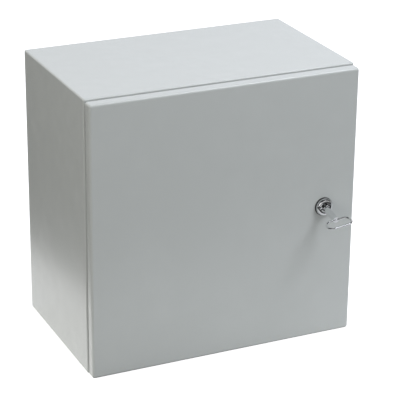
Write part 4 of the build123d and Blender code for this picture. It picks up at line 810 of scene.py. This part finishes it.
# For each piece its grids of places: the columns (X), the face (Y) and the rows (Z)
PLACES = {
    "clamp_screws": [
        (BREAKER_COLUMNS, -58.0, (129.0, 64.0)),
        ((-47.65, -30.15), -54.0, (130.5, 62.5)),
        ((-11.0, -2.0, 7.0, 16.0, 25.0), -112.0, (140.5, 52.5)),
        ((42.4, 56.4, 70.8, 84.8), -38.0, (125.5, 67.5)),
    ],
    "plug_screws": [(PLUG_COLUMNS, -80.0, (15.5, -73.5))],
    "case_screws": [
        ((-124.0, -10.0), MODULE_FACE, (1.0, -59.0)),
        ((-16.5, 30.5), SUPPLY_FACE, (148.0, 45.0)),
    ],
    "bracket_screws": [((-181.7,), -232.9, BRACKET_ROWS)],
    "terminal_tags": [(TERMINAL_COLUMNS + EARTH_COLUMNS, -60.9, (-125.5,))],
    "driver_plates": [(DRIVER_MIDDLES, MODULE_FACE, (-48.0,))],
    "breaker_plates": [(BREAKER_COLUMNS, -79.9, (113.5,))],
    "supply_plate": [((7.0,), SUPPLY_FACE, (84.0,))],
    "controller_keys": [((-48.0, -37.5, -27.0), MODULE_FACE, (-13.0, -23.0, -33.0, -43.0))],
}

# Sizes of the small pieces, in metres

SCREWS = {
    "clamp_screws": dict(
        Seed=4, Head_radius=0.0023, Head_height=0.0028,
        Slot_width=0.0006, Slot_length=0.0034, Slot_depth=0.0011,
    ),
    "plug_screws": dict(
        Seed=9, Head_radius=0.0015, Head_height=0.0018,
        Slot_width=0.0005, Slot_length=0.0024, Slot_depth=0.0008,
    ),
    "case_screws": dict(
        Seed=2, Head_radius=0.0019, Head_height=0.0010,
        Slot_width=0.00055, Slot_length=0.0024, Slot_depth=0.0006,
    ),
    "bracket_screws": dict(
        Seed=5, Head_radius=0.0021, Head_height=0.0013,
        Slot_width=0.0006, Slot_length=0.0028, Slot_depth=0.0007,
    ),
}
MARKERS = {
    "terminal_tags": dict(Wide=0.0060, High=0.0110, Thick=0.0012, Corner=0.0006, Crown=0.92),
    "driver_plates": dict(Wide=0.0170, High=0.0200, Thick=0.0009, Corner=0.0012, Crown=0.96),
    "breaker_plates": dict(Wide=0.0140, High=0.0060, Thick=0.0008, Corner=0.0008, Crown=0.95),
    "supply_plate": dict(Wide=0.0360, High=0.0280, Thick=0.0008, Corner=0.0020, Crown=0.98),
}
CONTROLLER_KEY = dict(Wide=0.0075, High=0.0062, Thick=0.0018, Corner=0.0014, Crown=0.86)
RAIL_FOOT = dict(Wide=0.0080, High=0.0070, Thick=0.0030, Corner=0.0010, Crown=0.9)
RAIL_FOOT_FACE = -0.0275
RAIL_FOOT_DROP = 0.0015
CONTROLLER_FOOT_INSET = 0.025
RELAY_FOOT_INSET = 0.014
SINGLE_FOOT_NODES = (
    "breaker_housing", "surge_base", "power_supply", "conflict_monitor",
    "lamp_driver_1", "lamp_driver_2", "lamp_driver_3", "lamp_driver_4",
)
STIFFENER_BEAD = dict(Bead_radius=0.0013, Ripple=0.0018, Ripple_depth=0.12)
STITCH_SHARES = (0.06, 0.28, 0.50, 0.72, 0.94)
STITCH_HALF = 0.008
STITCH_OFFSET = 0.0004
LIP_BEAD = dict(Bead_radius=0.0010, Ripple=0.0015, Ripple_depth=0.15)
LIP_BEAD_PROUD = 0.0006
LIP_FOOT = -0.2306
LIP_BEAD_END = -0.2418


def places_of(name):
    """A piece's places, column by column, turned from millimetres into metres."""
    grids = PLACES[name]
    flat = [(x, face, z) for columns, face, rows in grids for x in columns for z in rows]
    return [(x / 1000.0, y / 1000.0, z / 1000.0) for x, y, z in flat]


def drive_screws():
    """Clamp screws in the wire ports and plugs, and the screws of the cases and hinge brackets."""
    for name, sizes in SCREWS.items():
        grow(name, DRIVEN_SCREWS, "cabinet", "zinc_steel", places_of(name), **sizes)


def set_markers():
    """Blank markers on the terminals and blank plates on the modules."""
    for name, sizes in MARKERS.items():
        grow(name, ROUNDED_BLOCKS, "cabinet", "light_plastic", places_of(name), **sizes)


def controller_keys():
    """The controller's keypad."""
    keys = places_of("controller_keys")
    grow("controller_keys", ROUNDED_BLOCKS, "cabinet", "module_plastic", keys, **CONTROLLER_KEY)


def rail_feet():
    """The spring feet under the modules that clip them to their rails."""
    feet = []
    for node in SINGLE_FOOT_NODES:
        low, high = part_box(node)
        feet.append(((low[0] + high[0]) / 2, RAIL_FOOT_FACE, low[2] - RAIL_FOOT_DROP))
    low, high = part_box("controller_case")
    columns = (low[0] + CONTROLLER_FOOT_INSET, high[0] - CONTROLLER_FOOT_INSET)
    feet += [(x, RAIL_FOOT_FACE, low[2] - RAIL_FOOT_DROP) for x in columns]
    low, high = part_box("relay_bases")
    columns = (low[0] + RELAY_FOOT_INSET, high[0] - RELAY_FOOT_INSET)
    feet += [(x, RAIL_FOOT_FACE, low[2] - RAIL_FOOT_DROP) for x in columns]
    grow("rail_feet", ROUNDED_BLOCKS, "cabinet", "dark_plastic", feet, **RAIL_FOOT)


def line_pairs(ends):
    """The line between each two ends in turn."""
    return [(number, number + 1) for number in range(0, len(ends), 2)]


def weld_stitches():
    """Stitches along the door's stiffeners, and a seam at each corner of the body's lip."""
    ends = []
    for node in ("door_strip_left", "door_strip_right"):
        low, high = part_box(node)
        y = low[1] + STITCH_OFFSET
        for x in (low[0] - STITCH_OFFSET, high[0] + STITCH_OFFSET):
            for share in STITCH_SHARES:
                z = low[2] + (high[2] - low[2]) * share
                ends += [(x, y, z - STITCH_HALF), (x, y, z + STITCH_HALF)]
    grow("stiffener_welds", WELD_RUNS, "door", "cabinet_paint", ends, line_pairs(ends), **STIFFENER_BEAD)
    low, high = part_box("door_gasket")
    lip_centre = (high[0] - low[0]) / 2 - SEAL_BEAD_WIDTH / 2
    reach = lip_centre - SEAL_BEAD_CORNER + (SEAL_BEAD_CORNER + LIP_BEAD_PROUD) * math.sqrt(0.5)
    ends = []
    for x in (-reach, reach):
        for z in (-reach, reach):
            ends += [(x, LIP_FOOT, z), (x, LIP_BEAD_END, z)]
    grow("lip_welds", WELD_RUNS, "cabinet", "cabinet_paint", ends, line_pairs(ends), **LIP_BEAD)


drive_screws()
set_markers()
controller_keys()
rail_feet()
weld_stitches()


# Studio

FLOOR_Z = -0.2
FLOOR_GAP = 0.0003
FLOOR_HALF = 4.0
FLOOR_PALE = (0.62, 0.62, 0.62, 1.0)
FLOOR_GREY = (0.58, 0.58, 0.58, 1.0)
FLOOR_GRAIN_SCALE = 40.0
FLOOR_GRAIN_DEPTH = 0.06
FLOOR_LIFT = 0.85
# Dark grey for rays other than the camera's beyond the table's edges, and also the colour of the painted
# shadow at the door's foot
OFF_TABLE_AND_PAINTED_SHADOW = (0.04, 0.04, 0.04, 1.0)
TABLE_LEFT = -0.304
TABLE_LEFT_SOFT = 0.01
TABLE_FRONT = -0.55
TABLE_FRONT_SOFT = 0.02
TABLE_SKEW = 0.14
# Painted light: the floor strip beside the body glows for mirrored rays only, so the body's left side shows
# a painted reflection
LEFT_STRIP_PAINTED_GLOW = 1.15
BODY_LEFT = -0.20
DOOR_FACE = -0.25
# Painted shadow on the floor before the door's foot, for all rays but the camera's: its depth, where it
# starts in front, and where it is full and where it ends across
FOOT_SHADE = 0.65
FOOT_SHADE_FRONT = -0.43
FOOT_SHADE_LEFT = -0.15
FOOT_SHADE_RIGHT = 0.22
WHITE = (1.0, 1.0, 1.0, 1.0)
AMBIENT = 0.5
AMBIENT_COLOUR = (0.98, 1.0, 1.0, 1.0)
CARD_GRAIN_SCALE = 6.0
CARD_GRAIN_DEPTH = 0.2
CARD_GRAIN_BASE = 0.9
ROOM_LEFT = -2.6
ROOM_RIGHT = 3.2
ROOM_FRONT = -2.6
ROOM_TOP = 2.3
CEILING_BACK = 0.6
RIGHT_WALL_BACK = 3.0
FRONT_CARD_LEFT = -0.6
FRONT_CARD_TOP = 1.1
RIGHT_CARD_TOP = 0.6
LOCK_FLAG = [(0.161, -0.368, 0.249), (0.259, -0.280, 0.249), (0.323, -0.351, 0.181), (0.225, -0.439, 0.181)]
SENSOR_WIDTH = 36.0
FOCAL_LENGTH = 155.937
CAMERA_PLACE = (-0.94986, -2.21527, 0.94039)
CAMERA_TURN = -24.8187
CAMERA_DOWN = 22.5638
CAMERA_ROLL = 0.6148


def start_stage_finish(name):
    """A material without its Principled shader, and the socket that takes its surface."""
    material = bpy.data.materials.new(name)
    material.use_nodes = True
    tree = material.node_tree
    tree.nodes.remove(tree.nodes["Principled BSDF"])
    return material, tree, tree.nodes["Material Output"].inputs["Surface"]


def paint_floor():
    """Pale table top that keeps the soft shadow: white to the camera, and with edges to all other rays. All
    other rays also meet a painted shadow at the door's foot, and mirrored rays meet a painted glow on the
    strip beside the body.
    """
    material, tree, surface = start_stage_finish("pale_floor")
    grain = noise(tree, object_coordinates(tree), FLOOR_GRAIN_SCALE, detail=3.0)
    pale = blend_colours(tree, maths(tree, "MULTIPLY", grain, FLOOR_GRAIN_DEPTH), FLOOR_PALE, FLOOR_GREY)
    matt = place_node(tree, "ShaderNodeBsdfDiffuse", {"Color": pale})
    ray = place_node(tree, "ShaderNodeLightPath").outputs
    place = axis_values(tree, object_coordinates(tree))
    mirrored = maths(tree, "ADD", ray["Is Glossy Ray"], ray["Is Transmission Ray"], clamp=True)
    # Painted light: the strip left of the body and behind the door's face glows for mirrored rays
    beside = maths(tree, "LESS_THAN", place["X"], BODY_LEFT)
    behind = maths(tree, "GREATER_THAN", place["Y"], DOOR_FACE)
    strip = maths(tree, "MULTIPLY", maths(tree, "MULTIPLY", beside, behind), LEFT_STRIP_PAINTED_GLOW)
    glow = maths(tree, "MULTIPLY", mirrored, strip)
    lift = maths(tree, "MULTIPLY_ADD", ray["Is Camera Ray"], FLOOR_LIFT, glow)
    lit = place_node(tree, "ShaderNodeEmission", {"Color": WHITE, "Strength": lift})
    both = place_node(tree, "ShaderNodeAddShader", {0: matt.outputs[0], 1: lit.outputs[0]})
    across = maths(tree, "MULTIPLY_ADD", place["Y"], -TABLE_SKEW, place["X"])
    along = maths(tree, "MULTIPLY_ADD", place["X"], TABLE_SKEW, place["Y"])
    left_of_table = remap(tree, across, TABLE_LEFT + TABLE_LEFT_SOFT, TABLE_LEFT - TABLE_LEFT_SOFT)
    before_table = remap(tree, along, TABLE_FRONT + TABLE_FRONT_SOFT, TABLE_FRONT - TABLE_FRONT_SOFT)
    edges = maths(tree, "MAXIMUM", left_of_table, before_table)
    # Painted shadow: the floor grows darker towards the door's foot and to the left, for all rays but the
    # camera's
    ahead = maths(tree, "LESS_THAN", place["Y"], DOOR_FACE)
    near = maths(tree, "MULTIPLY", remap(tree, place["Y"], FOOT_SHADE_FRONT, DOOR_FACE), ahead)
    sideways = remap(tree, place["X"], FOOT_SHADE_RIGHT, FOOT_SHADE_LEFT, to_high=FOOT_SHADE)
    painted_foot_shadow = maths(tree, "MULTIPLY", near, sideways)
    unseen = maths(tree, "SUBTRACT", 1.0, ray["Is Camera Ray"])
    off_table_and_painted_shadow = maths(tree, "MULTIPLY", maths(tree, "MAXIMUM", edges, painted_foot_shadow), unseen)
    dim = place_node(tree, "ShaderNodeEmission", {"Color": OFF_TABLE_AND_PAINTED_SHADOW, "Strength": 1.0})
    seen = place_node(tree, "ShaderNodeMixShader", {0: off_table_and_painted_shadow, 1: both.outputs[0], 2: dim.outputs[0]})
    tree.links.new(seen.outputs[0], surface)
    return material


def flat_sheet(name, corners, material):
    """A sheet with four corners, for the studio."""
    mesh = bpy.data.meshes.new(name)
    mesh.from_pydata(corners, [], [(0, 1, 2, 3)])
    mesh.materials.append(material)
    sheet = bpy.data.objects.new(name, mesh)
    bpy.context.scene.collection.objects.link(sheet)
    return sheet


def lay_floor():
    """The floor that the cabinet stands on."""
    half = FLOOR_HALF
    corners = [(-half, -half), (half, -half), (half, half), (-half, half)]
    corners = [(x, y, FLOOR_Z - FLOOR_GAP) for x, y in corners]
    floor = flat_sheet("studio_floor", corners, paint_floor())


def wall_corners(start, end, bottom, top):
    """The corners of an upright card over a line on the floor."""
    return [(*start, bottom), (*end, bottom), (*end, top), (*start, top)]


def stand_card(name, corners, shade):
    """A card that only reflections see."""
    material, tree, surface = start_stage_finish(name)
    grain = noise(tree, object_coordinates(tree), CARD_GRAIN_SCALE, detail=3.0)
    mottle = maths(tree, "MULTIPLY_ADD", grain, CARD_GRAIN_DEPTH, CARD_GRAIN_BASE)
    tone = maths(tree, "MULTIPLY", mottle, shade)
    face = place_node(tree, "ShaderNodeEmission", {"Strength": tone})
    tree.links.new(face.outputs[0], surface)
    card = flat_sheet(name, corners, material)
    card.visible_camera = False
    card.visible_diffuse = False
    card.visible_shadow = False
    card.visible_transmission = False


def stand_cards():
    """Dark and pale walls, and one small flag, that the chrome and the paint mirror."""
    front_left = (ROOM_LEFT, ROOM_FRONT)
    front_right = (ROOM_RIGHT, ROOM_FRONT)
    back_left = (ROOM_LEFT, CEILING_BACK)
    ceiling = [front_left, front_right, (ROOM_RIGHT, CEILING_BACK), back_left]
    stand_card("ceiling_flag", [(*corner, ROOM_TOP) for corner in ceiling], 0.02)
    card_left = (FRONT_CARD_LEFT, ROOM_FRONT)
    stand_card("front_flag", wall_corners(card_left, front_right, FRONT_CARD_TOP, ROOM_TOP), 0.03)
    stand_card("front_card", wall_corners(card_left, front_right, FLOOR_Z, FRONT_CARD_TOP), 0.65)
    stand_card("lock_flag", LOCK_FLAG, 0.02)
    stand_card("left_flag", wall_corners(front_left, back_left, 0.0, ROOM_TOP), 0.03)
    back_right = (ROOM_RIGHT, RIGHT_WALL_BACK)
    stand_card("right_flag", wall_corners(front_right, back_right, RIGHT_CARD_TOP, ROOM_TOP), 0.02)
    stand_card("right_card", wall_corners(front_right, back_right, FLOOR_Z, RIGHT_CARD_TOP), 0.30)


def light_world():
    """White to the camera and to mirrors, a soft even light to everything else."""
    world = bpy.data.worlds.new("studio")
    bpy.context.scene.world = world
    world.use_nodes = True
    tree = world.node_tree
    soft = tree.nodes["Background"]
    soft.inputs["Color"].default_value = AMBIENT_COLOUR
    soft.inputs["Strength"].default_value = AMBIENT
    white = place_node(tree, "ShaderNodeBackground", {"Color": WHITE, "Strength": 1.0})
    ray = place_node(tree, "ShaderNodeLightPath").outputs
    mirrored = maths(tree, "ADD", ray["Is Glossy Ray"], ray["Is Transmission Ray"])
    seen = maths(tree, "ADD", ray["Is Camera Ray"], mirrored, clamp=True)
    choice = place_node(tree, "ShaderNodeMixShader", {0: seen, 1: soft.outputs[0], 2: white.outputs[0]})
    tree.links.new(choice.outputs[0], tree.nodes["World Output"].inputs["Surface"])


def hang_softbox(name, place, aim, width, height, watts, colour, mirrored):
    """A rectangular soft lamp turned towards a point, seen in mirrors or not."""
    lamp = bpy.data.lights.new(name, "AREA")
    lamp.shape = "RECTANGLE"
    lamp.size = width
    lamp.size_y = height
    lamp.energy = watts
    lamp.color = colour
    holder = bpy.data.objects.new(name, lamp)
    holder.location = place
    holder.rotation_euler = (Vector(aim) - Vector(place)).to_track_quat("-Z", "Y").to_euler()
    holder.visible_glossy = mirrored
    bpy.context.scene.collection.objects.link(holder)


def hang_softboxes():
    """The main lamp at the upper right, a warm one at the left and a cool one behind."""
    hang_softbox(
        "key_softbox", place=(0.95, -1.15, 1.70), aim=(0.0, -0.15, 0.0),
        width=0.9, height=0.9, watts=25.0, colour=(0.92, 0.945, 1.0), mirrored=True,
    )
    hang_softbox(
        "left_softbox", place=(-2.0, -0.9, 1.0), aim=(0.0, -0.1, 0.0),
        width=1.0, height=1.2, watts=16.5, colour=(1.0, 0.95, 0.87), mirrored=False,
    )
    hang_softbox(
        "back_softbox", place=(0.8, 0.7, 1.7), aim=(0.0, -0.1, 0.0),
        width=1.2, height=1.2, watts=6.5, colour=(0.68, 0.72, 1.0), mirrored=False,
    )


def set_camera():
    """The photograph's own viewpoint, solved from the cabinet's edges for a square picture."""
    lens = bpy.data.cameras.new("photograph")
    lens.sensor_width = SENSOR_WIDTH
    lens.lens = FOCAL_LENGTH
    lens.clip_start = 0.05
    lens.clip_end = 50.0
    camera = bpy.data.objects.new("photograph", lens)
    turn = Matrix.Rotation(math.radians(CAMERA_TURN), 4, "Z")
    tilt = Matrix.Rotation(math.radians(90.0 - CAMERA_DOWN), 4, "X")
    roll = Matrix.Rotation(math.radians(CAMERA_ROLL), 4, "Z")
    camera.matrix_world = Matrix.Translation(CAMERA_PLACE) @ turn @ tilt @ roll
    bpy.context.scene.collection.objects.link(camera)
    bpy.context.scene.camera = camera


lay_floor()
light_world()
hang_softboxes()
stand_cards()
set_camera()
bpy.context.scene.view_settings.view_transform = "Standard"
